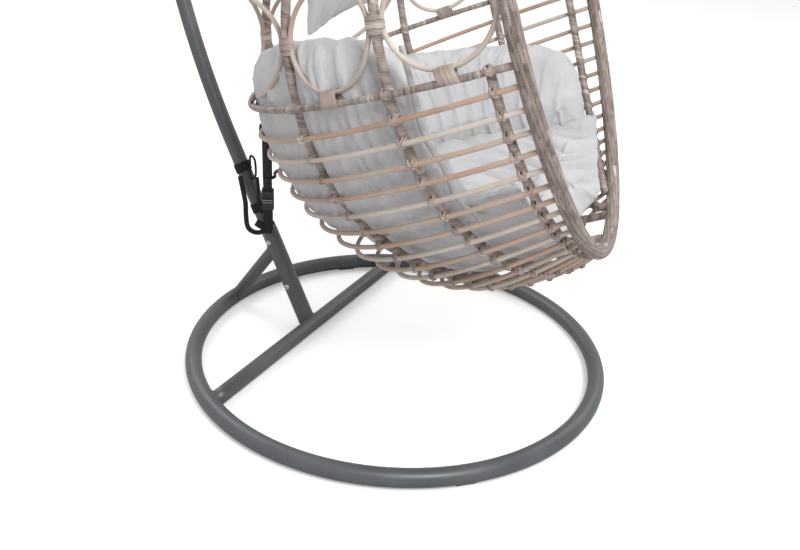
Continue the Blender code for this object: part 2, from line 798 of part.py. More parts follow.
def bent_loop(level, half_level, band, mat):
    low, high = loop_edge(level, band[0], 0.1), loop_edge(level, band[1], -0.1)
    middle, half = (low + high) / 2, (high - low) / 2
    path = [inner(level - half_level * sin(q), middle + half * cos(q), BAND_OFFSET)
            for q in angles(0, 2 * pi, LOOP_STEPS)[:-1]]
    return to_mesh(hung(tube, "loop_part", path, LOOP_R, mat, closed=True, res=1))


def rib_sleeve(level, phi, half, mat):
    run = inner(level + 0.1, phi, BAND_OFFSET) - inner(level - 0.1, phi, BAND_OFFSET)
    return hung(sleeve, "sleeve_part", inner(level, phi, BAND_OFFSET), run.normalized(),
                half=half, bore_half=half + 0.01, outer=RIB_R + 0.0056, bore=RIB_R + 0.0022,
                mat=mat, seg=10)


def loop_row(name, level, half_level, mat, sleeve_half=0.019):
    loops = [bent_loop(level, half_level, band, mat) for band in LOOP_BANDS]
    sleeves = [rib_sleeve(level, phi, sleeve_half, mat) for phi in SLEEVE_PHI]
    row = sleeves[0]
    # outward from the rear, so each part touches what is already joined
    for part in loops[0:2] + sleeves[1:3] + loops[2:4] + sleeves[3:5] + loops[4:6]:
        join(row, part)
    row.name = name
    smooth(row)


loop_row("loop_row_1", ROW_LEVELS[0], 1.14, cane("loop_cane_1", 3))
loop_row("loop_row_2", ROW_LEVELS[1], 0.98, cane("loop_cane_2", 2))
loop_row("loop_row_3", ROW_LEVELS[2], 0.80, cane("loop_cane_3", 1), sleeve_half=0.014)

# ------------------------------------------------------------------ crown and eye
# The ribs and the rim meet at the crown; the eye stands on top of it.
hung(cylinder, "crown", CROWN - Vector((0, 0, CROWN_H / 2)), CROWN + Vector((0, 0, CROWN_H / 2)),
     CROWN_R, wrap("crown_wrap"), seg=28)

WORLD_TO_SHELL = (seat_pivot.matrix_world @ Matrix.Translation(SHELL_OFFSET)).inverted()


def hang_eye():
    circle = arc_yz(EYE_R, EYE_Z, angles(0, 2 * pi, 20)[:-1])
    eye = to_mesh(hung(tube, "hang_eye", [WORLD_TO_SHELL @ p for p in circle], EYE_WIRE,
                       bright("eye_zinc"), closed=True))
    shank = hung(cylinder, "shank",
                 WORLD_TO_SHELL @ Vector((0, HOOK_Y, CROWN_TOP_Z + 0.0060)),
                 WORLD_TO_SHELL @ Vector((0, HOOK_Y, EYE_Z - EYE_R + 0.001)),
                 0.0062, seg=16)
    join(eye, shank)


hang_eye()

# ------------------------------------------------------------------ cushions
CUSHION_OFFSET = 0.0285      # outer face inside the shell surface
CUSHION_THICK = 0.105


def cushion(name, top_level, bottom_level, half_phi, mat, columns, rows):
    """Pad lying on the shell; top_level gives the upper edge's level at an angle."""
    bm = bmesh.new()
    bmesh.ops.create_grid(bm, x_segments=columns, y_segments=rows, size=1.0)
    for v in bm.verts:
        phi = v.co.x * half_phi
        share = (v.co.y + 1) / 2
        level = bottom_level + (top_level(phi) - bottom_level) * share
        v.co = inner(level, phi, CUSHION_OFFSET)
    pad = hung(from_bm, name, bm, mat)
    # normals outward from the bowl, so the thickness goes inward
    bm = bmesh.new()
    bm.from_mesh(pad.data)
    for face in bm.faces:
        if face.normal.dot(face.calc_center_median() - BOWL_CENTRE) < 0:
            face.normal_flip()
    bm.to_mesh(pad.data)
    bm.free()
    mod = pad.modifiers.new("thick", "SOLIDIFY")
    mod.thickness = CUSHION_THICK
    mod.offset = -1.0
    mod.use_even_offset = False


def ease(x, start, end):
    """Smooth step from 0 at start to 1 at end."""
    share = max(0.0, min(1.0, (x - start) / (end - start)))
    return share * share * (3 - 2 * share)


def bolster_top(phi):
    """Raised above the band at the rear, dropping towards the rim."""
    rear_raise = 1.1 * (1 - ease(abs(phi), 35, 75))
    side_drop = 0.9 * ease(abs(phi), 70, 92)
    return -1.0 - rear_raise + side_drop


def back_pillow():
    bm = bmesh.new()
    bmesh.ops.create_cube(bm, size=1.0)
    bmesh.ops.scale(bm, verts=bm.verts, vec=(0.42, 0.14, 0.30))
    bmesh.ops.rotate(bm, verts=bm.verts, cent=(0, 0, 0),
                     matrix=Matrix.Rotation(radians(18), 3, "X"))
    bmesh.ops.translate(bm, verts=bm.verts, vec=(0, -0.150, 1.045))
    pillow = hung(from_bm, "back_pillow", bm, cloth("pillow_cloth"))
    mod = pillow.modifiers.new("soft", "SUBSURF")
    mod.levels = mod.render_levels = 2


cushion("bolster", bolster_top, 6.2, 90.0, cloth("bolster_cloth"), columns=16, rows=5)
cushion("seat_cushion", lambda phi: 7.0, 15.4, 86.0, cloth("seat_cloth"), columns=14, rows=6)
back_pillow()

# ------------------------------------------------------------------ safety strap
WEB_W, WEB_T = 0.024, 0.0016
STRAP_TOP = SHELL_FRAME @ surface(0, -11.0) + Vector((0.002, -0.006, -0.0090))
STRAP_END = Vector((-SOCKET_R - 0.011, 0.374, 0.268))
STRAP_LEN = (STRAP_END - STRAP_TOP).length
STRAP_DIR = (STRAP_END - STRAP_TOP).normalized()
ACROSS = Vector((0.465, -0.884, 0.0))    # the webbing's width, before squaring to its run
STRAP_WIDE = (ACROSS - STRAP_DIR * ACROSS.dot(STRAP_DIR)).normalized()
STRAP_THIN = STRAP_DIR.cross(STRAP_WIDE).normalized()
BUCKLE_AT = STRAP_LEN * 0.60
BUCKLE_W, BUCKLE_T = 0.030, 0.012


def strap_point(distance):
    return STRAP_TOP + STRAP_DIR * distance


def buckle_box(name, width, thick, start, end, mat=None):
    """Box along the strap; start and end are measured from BUCKLE_AT."""
    start, end = strap_point(BUCKLE_AT + start), strap_point(BUCKLE_AT + end)
    frame = Matrix((STRAP_WIDE, STRAP_THIN, STRAP_DIR)).transposed().to_4x4()
    frame.translation = (start + end) / 2
    return box(name, (width, thick, (end - start).length), frame, mat)


def buckle():
    socket = buckle_box("buckle_socket", BUCKLE_W, BUCKLE_T, 0.016, 0.058,
                        black("buckle_plastic_a"))
    cut(socket, buckle_box("cut_buckle", 0.0222, 0.0072, 0.006, 0.040))
    tongue = buckle_box("buckle_tongue", BUCKLE_W, BUCKLE_T, -0.012, 0.0152,
                        black("buckle_plastic_b"))
    join(tongue, buckle_box("tongue", 0.0212, 0.0062, 0.010, 0.0385))


def ribbon(name, path, width_dir, mat, parent=None, loc=None):
    """Flat webbing: a rectangular section swept along a path."""
    bm = bmesh.new()
    rows = []
    for i, point in enumerate(path):
        run = (path[min(i + 1, len(path) - 1)] - path[max(i - 1, 0)]).normalized()
        wide = (width_dir - run * width_dir.dot(run)).normalized()
        thin = run.cross(wide)
        rows.append([bm.verts.new(point + wide * u * WEB_W / 2 + thin * v * WEB_T / 2)
                     for u, v in ((-1, -1), (1, -1), (1, 1), (-1, 1))])
    for row, following in zip(rows, rows[1:]):
        for j in range(4):
            k = (j + 1) % 4
            bm.faces.new((row[j], row[k], following[k], following[j]))
    bm.faces.new(rows[0])
    bm.faces.new(rows[-1])
    return from_bm(name, bm, mat, parent, loc, shade=False)


def strap_webs():
    """Upper web turns with the seat, lower web stays with the stand."""
    stations = (0.0, STRAP_LEN * 0.2, STRAP_LEN * 0.4, BUCKLE_AT - 0.0130)
    hung(ribbon, "strap_upper_web", [WORLD_TO_SHELL @ strap_point(d) for d in stations],
         WORLD_TO_SHELL.to_3x3() @ STRAP_WIDE, black("web_upper"))
    lower = [strap_point(BUCKLE_AT + 0.0590), strap_point(BUCKLE_AT + 0.085),
             STRAP_END - STRAP_DIR * 0.020, STRAP_END + Vector((-0.0005, 0.004, -0.010))]
    ribbon("strap_lower_web", lower, STRAP_WIDE, black("web_lower"))


def post_band(name, height):
    """Band of webbing round the post at a height."""
    middle = SOCKET_TOP + SOCKET_DIR * ((height - SOCKET_TOP.z) / SOCKET_DIR.z)
    sleeve(name, middle, SOCKET_DIR, half=0.0125, bore_half=0.03,
           outer=POST_R + 0.0026, bore=POST_R + 0.0007, mat=black(name + "_web"))


buckle()
strap_webs()
post_band("strap_collar", 0.408 + FLOOR_GAP)
post_band("strap_loop", 0.308 + FLOOR_GAP)


# ------------------------------------------------------------------ origin
def centre_footprint():
    """Everything is drawn round the floor ring's centre; move it so that the
    origin is the middle of the whole chair's footprint."""
    bpy.context.view_layer.update()
    depsgraph = bpy.context.evaluated_depsgraph_get()
    xs, ys = [], []
    for obj in CHAIR.objects:
        if obj.type in ("MESH", "CURVE"):
            evaluated = obj.evaluated_get(depsgraph)
            for v in evaluated.to_mesh().vertices:
                world = obj.matrix_world @ v.co
                xs.append(world.x)
                ys.append(world.y)
            evaluated.to_mesh_clear()
    shift = Vector((-(min(xs) + max(xs)) / 2, -(min(ys) + max(ys)) / 2, 0.0))
    for obj in CHAIR.objects:
        if obj.parent is None:
            obj.location = obj.location + shift
    bpy.context.view_layer.update()


centre_footprint()
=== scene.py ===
"""Hanging egg chair: a basket of bent rods, hung by a spring from a floor stand with a curved post.

Metres, +Z up. ORIGIN is the floor ring's centre on the floor. The post rises at +Y and curves over
towards -Y. In its own frame the basket opens to -Y, with its back at +Y; shell_to_world() then
pitches it, turns it about Z and sets it in place.
"""
from itertools import count
from math import sin, cos, pi, radians, degrees, sqrt, acos
import bpy
import bmesh
import numpy as np
from mathutils import Vector, Matrix


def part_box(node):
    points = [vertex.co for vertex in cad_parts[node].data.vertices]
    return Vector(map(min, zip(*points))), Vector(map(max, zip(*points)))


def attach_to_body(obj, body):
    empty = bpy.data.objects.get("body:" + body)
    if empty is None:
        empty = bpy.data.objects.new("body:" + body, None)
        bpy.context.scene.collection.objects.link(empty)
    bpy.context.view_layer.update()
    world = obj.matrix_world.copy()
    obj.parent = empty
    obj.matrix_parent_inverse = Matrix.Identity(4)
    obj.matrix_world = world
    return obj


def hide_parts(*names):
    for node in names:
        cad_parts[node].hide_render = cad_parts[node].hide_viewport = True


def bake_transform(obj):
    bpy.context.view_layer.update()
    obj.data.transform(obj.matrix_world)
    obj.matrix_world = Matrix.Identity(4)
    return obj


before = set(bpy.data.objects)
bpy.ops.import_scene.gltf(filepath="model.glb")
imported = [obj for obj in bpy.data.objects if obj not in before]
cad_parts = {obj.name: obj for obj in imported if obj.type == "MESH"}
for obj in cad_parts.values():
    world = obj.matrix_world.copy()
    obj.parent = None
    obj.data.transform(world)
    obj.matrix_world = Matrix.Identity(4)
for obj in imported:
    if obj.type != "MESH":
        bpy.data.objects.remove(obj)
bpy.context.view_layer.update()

ring_low, ring_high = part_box("floor_ring")
ORIGIN = np.array([(ring_low[0] + ring_high[0]) / 2, (ring_low[1] + ring_high[1]) / 2, 0.0])

# ------------------------------------------------------------------ driving sizes
# Stand. All *_R values are radii.
FLOOR_GAP = 0.002
RING_R = 0.505
RING_TUBE_R = 0.020
RING_Z = RING_TUBE_R + FLOOR_GAP         # height of the ring's centre line
BAR_TUBE_R = 0.0190
BAR_Y = 0.245
POST_R = 0.0190
SOCKET_R = 0.0218
BRACE_R = 0.0165
HOOK_Y = -0.055

# Basket placement
YAW, PITCH = 11.2, 17.5
SHELL_PLACE = np.array([-0.0113, -0.0027, FLOOR_GAP])

# Basket outline. "Forward" is -Y in the basket's frame.
RIM_HALF_WIDTH = 0.520
RIM_MID_Z = 0.900
RIM_DOWN, RIM_UP = 0.638, 0.460          # rim's reach below and above RIM_MID_Z
RIM_FORWARD = 0.600
BACK_DEPTH, BACK_DROP = 0.475, 0.514     # half axes of the lower back curve
BACK_FORWARD, BACK_Z = 0.330, 0.720      # its centre
DOME_DEPTH, DOME_RISE = 0.625, 0.650     # half axes of the upper back curve
DOME_FORWARD = 0.480                     # its centre, at BACK_Z
SECTION = 0.90                           # fullness of the horizontal sections
PHI_RIM = degrees(acos((SECTION - 1) / SECTION))   # angle round a section at the rim

# Basket members
RIM_R = 0.0150
ROD_R = 0.0054
RIB_R = 0.0092
BAND_R = 0.0068
LOOP_R = 0.0052
GAP = 0.0005                             # clearance between members
RIB_PHI = (50.3, 73.5, 91.2)             # side ribs, degrees from the middle of the back
RIB_DEPTH = RIB_R + ROD_R + GAP          # ribs lie this far inside the rods
LOOP_DEPTH = RIB_R + BAND_R + GAP        # loops, and ribs above the band, inside the shell
LEVEL_TRIM = RIM_R - 0.002               # rods and band stop this far from the rim's line
CROWN_R = 0.066
CROWN_FORWARD, CROWN_Z = 0.490, 1.352

# One tone per level rod, top to bottom
ROD_TONES = (0.72, 0.10, 0.48, 0.62, 0.08, 0.55, 0.50, 0.15, 0.58,
             0.20, 0.66, 0.38, 0.12, 0.60, 0.30, 0.70, 0.25)
RODS = len(ROD_TONES)

turn_matrix = Matrix.Rotation(radians(YAW), 3, "Z") @ Matrix.Rotation(radians(-PITCH), 3, "X")
SHELL_TURN = np.array([[turn_matrix[i][j] for j in range(3)] for i in range(3)])


# ------------------------------------------------------------------ basket surface
# A point is given by its level (0 to 16 at the rods going down, -1 at the band hoop, -11 at the
# crown) and phi, the angle round the section (0 at the middle of the back, + towards +X).
def shell_to_world(points):
    return np.asarray(points, float) @ SHELL_TURN.T + SHELL_PLACE + ORIGIN


def rim_point(angle):
    """Forward, half width and height of the rim; its top leans back a little."""
    angle = np.asarray(angle, float)
    reach = np.where(angle > 0, RIM_UP, RIM_DOWN)
    height = RIM_MID_Z + reach * np.sin(np.radians(angle))
    lean = np.where(height > 0.95, 0.10 * ((height - 0.95) / 0.41) ** 2, 0.0)
    return RIM_FORWARD - lean, RIM_HALF_WIDTH * np.cos(np.radians(angle)), height


def surface(level, phi):
    level, phi = np.broadcast_arrays(np.asarray(level, float), np.asarray(phi, float))
    climb = (-1 - level) / 10            # 0 at the band hoop, 1 at the crown
    rim_angle = np.where(
        level >= 0, -12.5 - 4.35 * level + 0.0445 * level * level,
        np.where(level >= -1, -12.5 - 3.5 * level, -9 + 99 * climb))
    back_angle = np.where(
        level >= 0, 5.6 + 5.6 * level + 0.05 * level * level,
        np.where(level >= -1, 5.6 + 8.1 * level, -2.5 - 87.5 * climb))
    rim_forward, rim_width, rim_z = rim_point(rim_angle)
    cosine, sine = np.cos(np.radians(back_angle)), np.sin(np.radians(back_angle))
    under = (back_angle - 90) * 0.0307   # how far the curve has run along the bottom
    back_forward = np.where(
        back_angle <= 0, DOME_FORWARD - DOME_DEPTH * cosine,
        np.where(back_angle <= 90, BACK_FORWARD - BACK_DEPTH * cosine,
                 BACK_FORWARD + 0.27 * under))
    back_z = np.where(
        back_angle <= 0, BACK_Z - DOME_RISE * sine,
        np.where(back_angle <= 90, BACK_Z - BACK_DROP * sine,
                 BACK_Z - BACK_DROP + 0.056 * under * under))
    share = SECTION * (1 - np.cos(np.radians(phi)))    # 0 at the back, 1 at the rim
    width = rim_width / sin(radians(PHI_RIM)) * np.sin(np.radians(phi))
    return np.stack([width, -(back_forward + (rim_forward - back_forward) * share),
                     back_z + (rim_z - back_z) * share], -1)


def normal(level, phi):
    """Unit normal pointing away from the middle of the basket."""
    level, phi = np.broadcast_arrays(np.asarray(level, float), np.asarray(phi, float))
    across = surface(level, phi + 0.5) - surface(level, phi - 0.5)
    down = surface(level + 0.05, phi) - surface(level - 0.05, phi)
    out = np.cross(across, down)
    out /= np.maximum(np.linalg.norm(out, axis=-1, keepdims=True), 1e-12)
    from_middle = surface(level, phi) - np.array([0, -0.33, 0.80])
    return out * np.where((out * from_middle).sum(-1, keepdims=True) < 0, -1.0, 1.0)


def inside(level, phi, depth):
    """Point at the given depth inside the surface."""
    depth = np.asarray(depth, float)
    return surface(level, phi) - normal(level, phi) * (depth[..., None] if depth.ndim else depth)


# ------------------------------------------------------------------ paths
def unit(vector):
    return vector / np.linalg.norm(vector)


def unit_rows(vectors):
    return vectors / np.linalg.norm(vectors, axis=1, keepdims=True)


def arc_length(path):
    return np.r_[0, np.cumsum(np.linalg.norm(np.diff(path, axis=0), axis=1))]


def resample(path, step, closed=False):
    """Even points along a path, and the arc length at each."""
    path = np.asarray(path, float)
    if closed:
        path = np.vstack([path, path[:1]])
    length = arc_length(path)
    spans = max(int(round(length[-1] / step)), 3)
    arc = np.linspace(0, length[-1], spans + 1)
    if closed:
        arc = arc[:-1]
    return np.stack([np.interp(arc, length, path[:, k]) for k in range(3)], 1), arc


def smooth_path(path, per_span, closed=False):
    """Catmull-Rom curve through the points."""
    path = np.asarray(path, float)
    total = len(path)
    out = []
    for i in range(total if closed else total - 1):
        if closed:
            before, start, end, after = (path[(i + k) % total] for k in (-1, 0, 1, 2))
        else:
            start, end = path[i], path[i + 1]
            before = path[i - 1] if i > 0 else 2 * start - end
            after = path[i + 2] if i + 2 < total else 2 * end - start
        for k in range(per_span):
            t = k / per_span
            out.append(0.5 * ((2 * start) + (end - before) * t
                              + (2 * before - 5 * start + 4 * end - after) * t * t
                              + (3 * start - before - 3 * end + after) * t ** 3))
    if not closed:
        out.append(path[-1])
    return np.array(out)


def frames(path, closed):
    """Two directions square to the path at each point, carried along without twist."""
    if closed:
        tangent = unit_rows(np.roll(path, -1, 0) - np.roll(path, 1, 0))
    else:
        tangent = unit_rows(np.gradient(path, axis=0))
    hint = np.array((0.123, 0.456, 0.881))    # in line with no member
    side = np.zeros_like(path)
    side[0] = unit(hint - tangent[0] * np.dot(hint, tangent[0]))
    for i in range(1, len(path)):
        side[i] = unit(side[i - 1] - tangent[i] * np.dot(side[i - 1], tangent[i]))
    if closed:
        # spread the closing twist round the loop
        last = unit(side[-1] - tangent[0] * np.dot(side[-1], tangent[0]))
        twist = np.arctan2(np.dot(np.cross(last, side[0]), tangent[0]), np.dot(last, side[0]))
        for i in range(len(path)):
            angle = twist * i / len(path)
            square = np.cross(tangent[i], side[i])
            side[i] = side[i] * cos(angle) + square * sin(angle)
    return side, np.cross(tangent, side)


# ------------------------------------------------------------------ mesh data
# A part is (vertices, faces, attributes). Attributes: "along" is arc length, "turn" the place
# round the section, "tone" picks the colour, and the fourth, a mask, is 0 where shade is painted
# between strands.
def tube_faces(rings, sides, closed=False):
    ids = np.arange(rings * sides).reshape(rings, sides)
    beside = np.roll(ids, -1, 1)
    last = rings if closed else rings - 1
    corners = [ids[:last], beside[:last], np.roll(beside, -1, 0)[:last],
               np.roll(ids, -1, 0)[:last]]
    faces = np.stack(corners, -1).reshape(-1, 4).tolist()
    if not closed:
        faces.append(ids[0][::-1].tolist())
        faces.append(ids[-1].tolist())
    return faces


def field(value, arc, turn):
    return value(arc, turn) if callable(value) else np.full_like(arc, float(value))


def sweep(path, arc, radius, sides, closed=False, tone=0.5):
    """Tube along a path; radius and tone are numbers or functions of (arc, turn)."""
    side, square = frames(path, closed)
    angles = np.linspace(0, 2 * pi, sides, endpoint=False)
    arcs, turns = np.meshgrid(arc, angles, indexing="ij")
    radii = field(radius, arcs, turns)
    rings = path[:, None, :] + radii[..., None] * (
        np.cos(turns)[..., None] * side[:, None, :] + np.sin(turns)[..., None] * square[:, None, :])
    attributes = {"along": arcs.reshape(-1), "turn": turns.reshape(-1),
                  "tone": field(tone, arcs, turns).reshape(-1)}
    return rings.reshape(-1, 3), tube_faces(len(path), sides, closed), attributes


def join(parts):
    missing = {"along": 0.5, "turn": 0.5, "tone": 0.5, "groove_unshaded": 1.0}
    vertices, faces, first = [], [], 0
    columns = {key: [] for key in missing}
    for part_vertices, part_faces, attributes in parts:
        vertices.append(part_vertices)
        faces += [[i + first for i in face] for face in part_faces]
        for key, value in missing.items():
            columns[key].append(attributes.get(key, np.full(len(part_vertices), value)))
        first += len(part_vertices)
    return (np.vstack(vertices), faces,
            {key: np.concatenate(column) for key, column in columns.items()})


def ribbon(path, half_width, half_thick, wide=None, facing=None, step=0.004):
    """Flat tape along a path; its width runs along `wide`, or square to `facing`."""
    path, arc = resample(path, step)
    tangent = unit_rows(np.gradient(path, axis=0))
    if facing is not None:
        width = np.cross(tangent, facing)
    else:
        width = np.broadcast_to(np.asarray(wide, float), path.shape)
    width = unit_rows(width - tangent * (width * tangent).sum(1, keepdims=True))
    thick = np.cross(tangent, width)
    # section corners: across the width, through the thickness
    section = np.array([(-1, -1), (0, -1.25), (1, -1), (1, 1), (0, 1.25), (-1, 1)])
    rings = np.stack([path + width * (a * half_width) + thick * (b * half_thick)
                      for a, b in section], 1)
    sides = len(section)
    arcs = np.repeat(arc[:, None], sides, 1)
    turns = np.broadcast_to(section[:, 0] * half_width, arcs.shape)
    return rings.reshape(-1, 3), tube_faces(len(path), sides), {
        "along": arcs.reshape(-1), "turn": turns.reshape(-1), "tone": np.full(arcs.size, 0.5)}


# ------------------------------------------------------------------ objects
def mesh_object(name, vertices, faces, material, attributes=None):
    mesh = bpy.data.meshes.new(name)
    mesh.from_pydata([tuple(v) for v in vertices], [], [tuple(int(i) for i in f) for f in faces])
    mesh.update()
    mesh.polygons.foreach_set("use_smooth", [True] * len(mesh.polygons))
    for key, values in (attributes or {}).items():
        layer = mesh.attributes.new(key, "FLOAT", "POINT")
        layer.data.foreach_set("value", np.asarray(values, np.float32))
    made = bpy.data.objects.new(name, mesh)
    bpy.context.scene.collection.objects.link(made)
    mesh.materials.append(material)
    return made


def attach(made, body, nodes):
    bpy.context.view_layer.update()
    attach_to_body(made, body)
    if nodes:
        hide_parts(*nodes)


def piece(name, part, material, body, *nodes, slot):
    vertices, faces, attributes = part
    attach(mesh_object(name, vertices, faces, material, attributes), body, nodes)


# ------------------------------------------------------------------ materials
class Shader:
    """A new material, with short ways to add nodes. Values may be numbers or node outputs."""

    def __init__(self, name):
        self.material = bpy.data.materials.new(name)
        self.material.use_nodes = True
        self.nodes = self.material.node_tree.nodes
        self.links = self.material.node_tree.links
        self.principled = self.nodes["Principled BSDF"]

    def feed(self, socket, value):
        if isinstance(value, bpy.types.NodeSocket):
            self.links.new(value, socket)
        else:
            socket.default_value = value

    def set(self, name, value):
        self.feed(self.principled.inputs[name], value)

    def add(self, kind, **inputs):
        node = self.nodes.new("ShaderNode" + kind)
        for name, value in inputs.items():
            self.feed(node.inputs[name.capitalize()], value)
        return node

    def object_coords(self):
        return self.add("TexCoord").outputs["Object"]

    def attribute(self, name):
        node = self.add("Attribute")
        node.attribute_name = name
        return node.outputs["Fac"]

    def noise(self, scale, detail, coords=None, roughness=0.5):
        node = self.add("TexNoise", scale=scale, detail=detail, roughness=roughness)
        if coords is not None:
            self.feed(node.inputs["Vector"], coords)
        return node.outputs[0]

    def wave(self, direction, scale, distortion, coords):
        node = self.add("TexWave", scale=scale, distortion=distortion, vector=coords)
        node.bands_direction = direction
        return node.outputs["Fac"]

    def math(self, operation, *operands):
        node = self.add("Math")
        node.operation = operation
        for socket, value in zip(node.inputs, operands):
            self.feed(socket, value)
        return node.outputs[0]

    def mix(self, factor, first, second, blend="MIX"):
        node = self.add("MixRGB")
        node.blend_type = blend
        for socket, value in zip(node.inputs, (factor, first, second)):
            self.feed(socket, value)
        return node.outputs[0]

    def ramp(self, factor, *stops):
        """Colour ramp; each stop is (position, rgb)."""
        node = self.add("ValToRGB")
        elements = node.color_ramp.elements
        while len(elements) < len(stops):
            elements.new(0.5)
        for element, (position, color) in zip(elements, stops):
            element.position = position
            element.color = (*color, 1)
        self.feed(node.inputs[0], factor)
        return node.outputs[0]

    def color_between(self, factor, low, high, start=0.3, end=0.7):
        self.set("Base Color", self.ramp(factor, (start, low), (end, high)))

    def roughness_between(self, factor, low, high):
        self.set("Roughness", self.ramp(factor, (0.3, (low,) * 3), (0.7, (high,) * 3)))

    def vary(self, base, noise, amount):
        """base plus noise centred on zero."""
        centred = self.math("SUBTRACT", noise, 0.5)
        return self.math("ADD", base, self.math("MULTIPLY", centred, amount))

    def bump(self, height, strength, distance):
        node = self.add("Bump", strength=strength, distance=distance, height=height)
        self.set("Normal", node.outputs[0])


def powder_coat():
    shader = Shader("powder_coat")
    coords = shader.object_coords()
    mottle = shader.noise(scale=7, detail=2, coords=coords)
    grain = shader.noise(scale=900, detail=2, coords=coords)
    shader.color_between(mottle, low=(0.096, 0.104, 0.110), high=(0.126, 0.134, 0.140),
                         start=0.35, end=0.65)
    shader.roughness_between(mottle, low=0.36, high=0.46)
    shader.set("Metallic", 0.25)
    shader.bump(grain, strength=0.10, distance=0.0006)
    return shader.material


def zinc():
    shader = Shader("zinc")
    mottle = shader.noise(scale=160, detail=3, coords=shader.object_coords())
    shader.color_between(mottle, low=(0.50, 0.51, 0.52), high=(0.72, 0.73, 0.74))
    shader.roughness_between(mottle, low=0.22, high=0.38)
    shader.set("Metallic", 1.0)
    return shader.material


def black_moulding(name, roughness):
    shader = Shader(name)
    color = (0.014, 0.014, 0.016)
    grain = shader.noise(scale=420, detail=2, coords=shader.object_coords())
    shader.color_between(grain, low=tuple(c * 0.8 for c in color),
                         high=tuple(c * 1.35 for c in color))
    shader.roughness_between(grain, low=roughness * 0.85, high=roughness * 1.15)
    shader.bump(grain, strength=0.2, distance=0.0004)
    return shader.material


def webbing():
    """Black weave that follows the ribbon's own length and width."""
    shader = Shader("webbing")
    length_pitch, width_pitch = 0.0022, 0.0026
    along, across = shader.attribute("along"), shader.attribute("turn")
    warp = shader.math("SINE", shader.math("MULTIPLY", along, 2 * pi / length_pitch))
    weft = shader.math("SINE", shader.math("MULTIPLY", across, 2 * pi / width_pitch))
    weave = shader.math("MULTIPLY", warp, weft)
    from_zero = shader.math("ADD", shader.math("MULTIPLY", weave, 0.5), 0.5)
    shader.color_between(from_zero, low=(0.006, 0.006, 0.007), high=(0.030, 0.030, 0.034),
                         start=0.0, end=1.0)
    shader.set("Roughness", 0.8)
    shader.bump(weave, strength=0.5, distance=0.0005)
    return shader.material


def webbing_plain():
    """Black weave for the CAD straps, which carry no length attribute."""
    shader = Shader("webbing_plain")
    coords = shader.object_coords()
    warp, weft = (shader.wave(axis, scale=140, distortion=0.6, coords=coords) for axis in "ZX")
    weave = shader.math("MULTIPLY", warp, weft)
    shader.color_between(weave, low=(0.006, 0.006, 0.007), high=(0.028, 0.028, 0.032),
                         start=0.0, end=1.0)
    shader.set("Roughness", 0.8)
    shader.bump(weave, strength=0.5, distance=0.0005)
    return shader.material


def cane(name):
    """Bare rods: each its own tone, mottled along its length."""
    shader = Shader(name)
    tone, coords = shader.attribute("tone"), shader.object_coords()
    broad = shader.noise(scale=5.0, detail=2, coords=coords)
    mottle = shader.noise(scale=40, detail=3, coords=coords)
    grain = shader.noise(scale=500, detail=3, coords=coords)
    shade = shader.vary(tone, broad, amount=1.1)
    shade = shader.vary(shade, mottle, amount=0.35)
    shader.set("Base Color", shader.ramp(
        shade, (0.0, (0.62, 0.55, 0.485)), (0.35, (0.51, 0.415, 0.35)),
        (0.7, (0.485, 0.34, 0.255)), (1.0, (0.34, 0.225, 0.17))))
    shader.set("Roughness", 0.42)        # stands only if the ramp below is unlinked
    shader.roughness_between(mottle, low=0.34, high=0.55)
    shader.bump(grain, strength=0.12, distance=0.0006)
    return shader.material


def wicker(name, lightness=1.0):
    """Wrapped strand: every turn its own tone, with shade painted dark between turns."""
    shader = Shader(name)
    tone, groove_unshaded = shader.attribute("tone"), shader.attribute("groove_unshaded")
    coords = shader.object_coords()
    mottle = shader.noise(scale=30, detail=3, coords=coords)
    grain = shader.noise(scale=900, detail=2, coords=coords)
    stops = ((0.0, (0.13, 0.098, 0.084)), (0.3, (0.27, 0.212, 0.185)),
             (0.7, (0.41, 0.338, 0.30)), (1.0, (0.66, 0.59, 0.54)))
    strand = shader.ramp(shader.vary(tone, mottle, amount=0.8), *(
        (position, tuple(lightness * c for c in color)) for position, color in stops))
    # painted shade: near-black colour laid in the grooves between strands
    between = (0.055, 0.040, 0.034, 1)
    shader.set("Base Color", shader.mix(groove_unshaded, between, strand))
    shader.roughness_between(mottle, low=0.38, high=0.60)
    shader.bump(grain, strength=0.15, distance=0.0005)
    return shader.material


def cloth():
    """Pale woven cover: fine weave over soft creases drawn out in height."""
    shader = Shader("cushion_cloth")
    coords = shader.object_coords()
    patches = shader.noise(scale=9, detail=3, coords=coords)
    fibres = shader.noise(scale=700, detail=2, coords=coords)
    warp, weft = (shader.wave(axis, scale=330, distortion=1.2, coords=coords) for axis in "XZ")
    color = shader.ramp(patches, (0.3, (0.66, 0.66, 0.672)), (0.7, (0.78, 0.78, 0.79)))
    shader.set("Base Color", shader.mix(0.22, color, fibres, blend="MULTIPLY"))
    shader.set("Roughness", 0.92)
    shader.set("Sheen Weight", 0.25)
    stretched = shader.add("Mapping", scale=(1.0, 1.0, 0.45), vector=coords).outputs[0]
    creases = shader.noise(scale=26, detail=5, roughness=0.62, coords=stretched)
    # weave, fibres and creases in the relief
    height = shader.math("ADD", shader.math("MULTIPLY", warp, weft),
                         shader.math("MULTIPLY", fibres, 0.4))
    height = shader.math("ADD", height, shader.math("MULTIPLY", creases, 9.0))
    shader.bump(height, strength=0.55, distance=0.0011)
    return shader.material


def pale_stripe():
    shader = Shader("pale_stripe")
    mottle = shader.noise(scale=300, detail=2)
    shader.color_between(mottle, low=(0.42, 0.42, 0.43), high=(0.58, 0.58, 0.60))
    shader.set("Roughness", 0.5)
    return shader.material


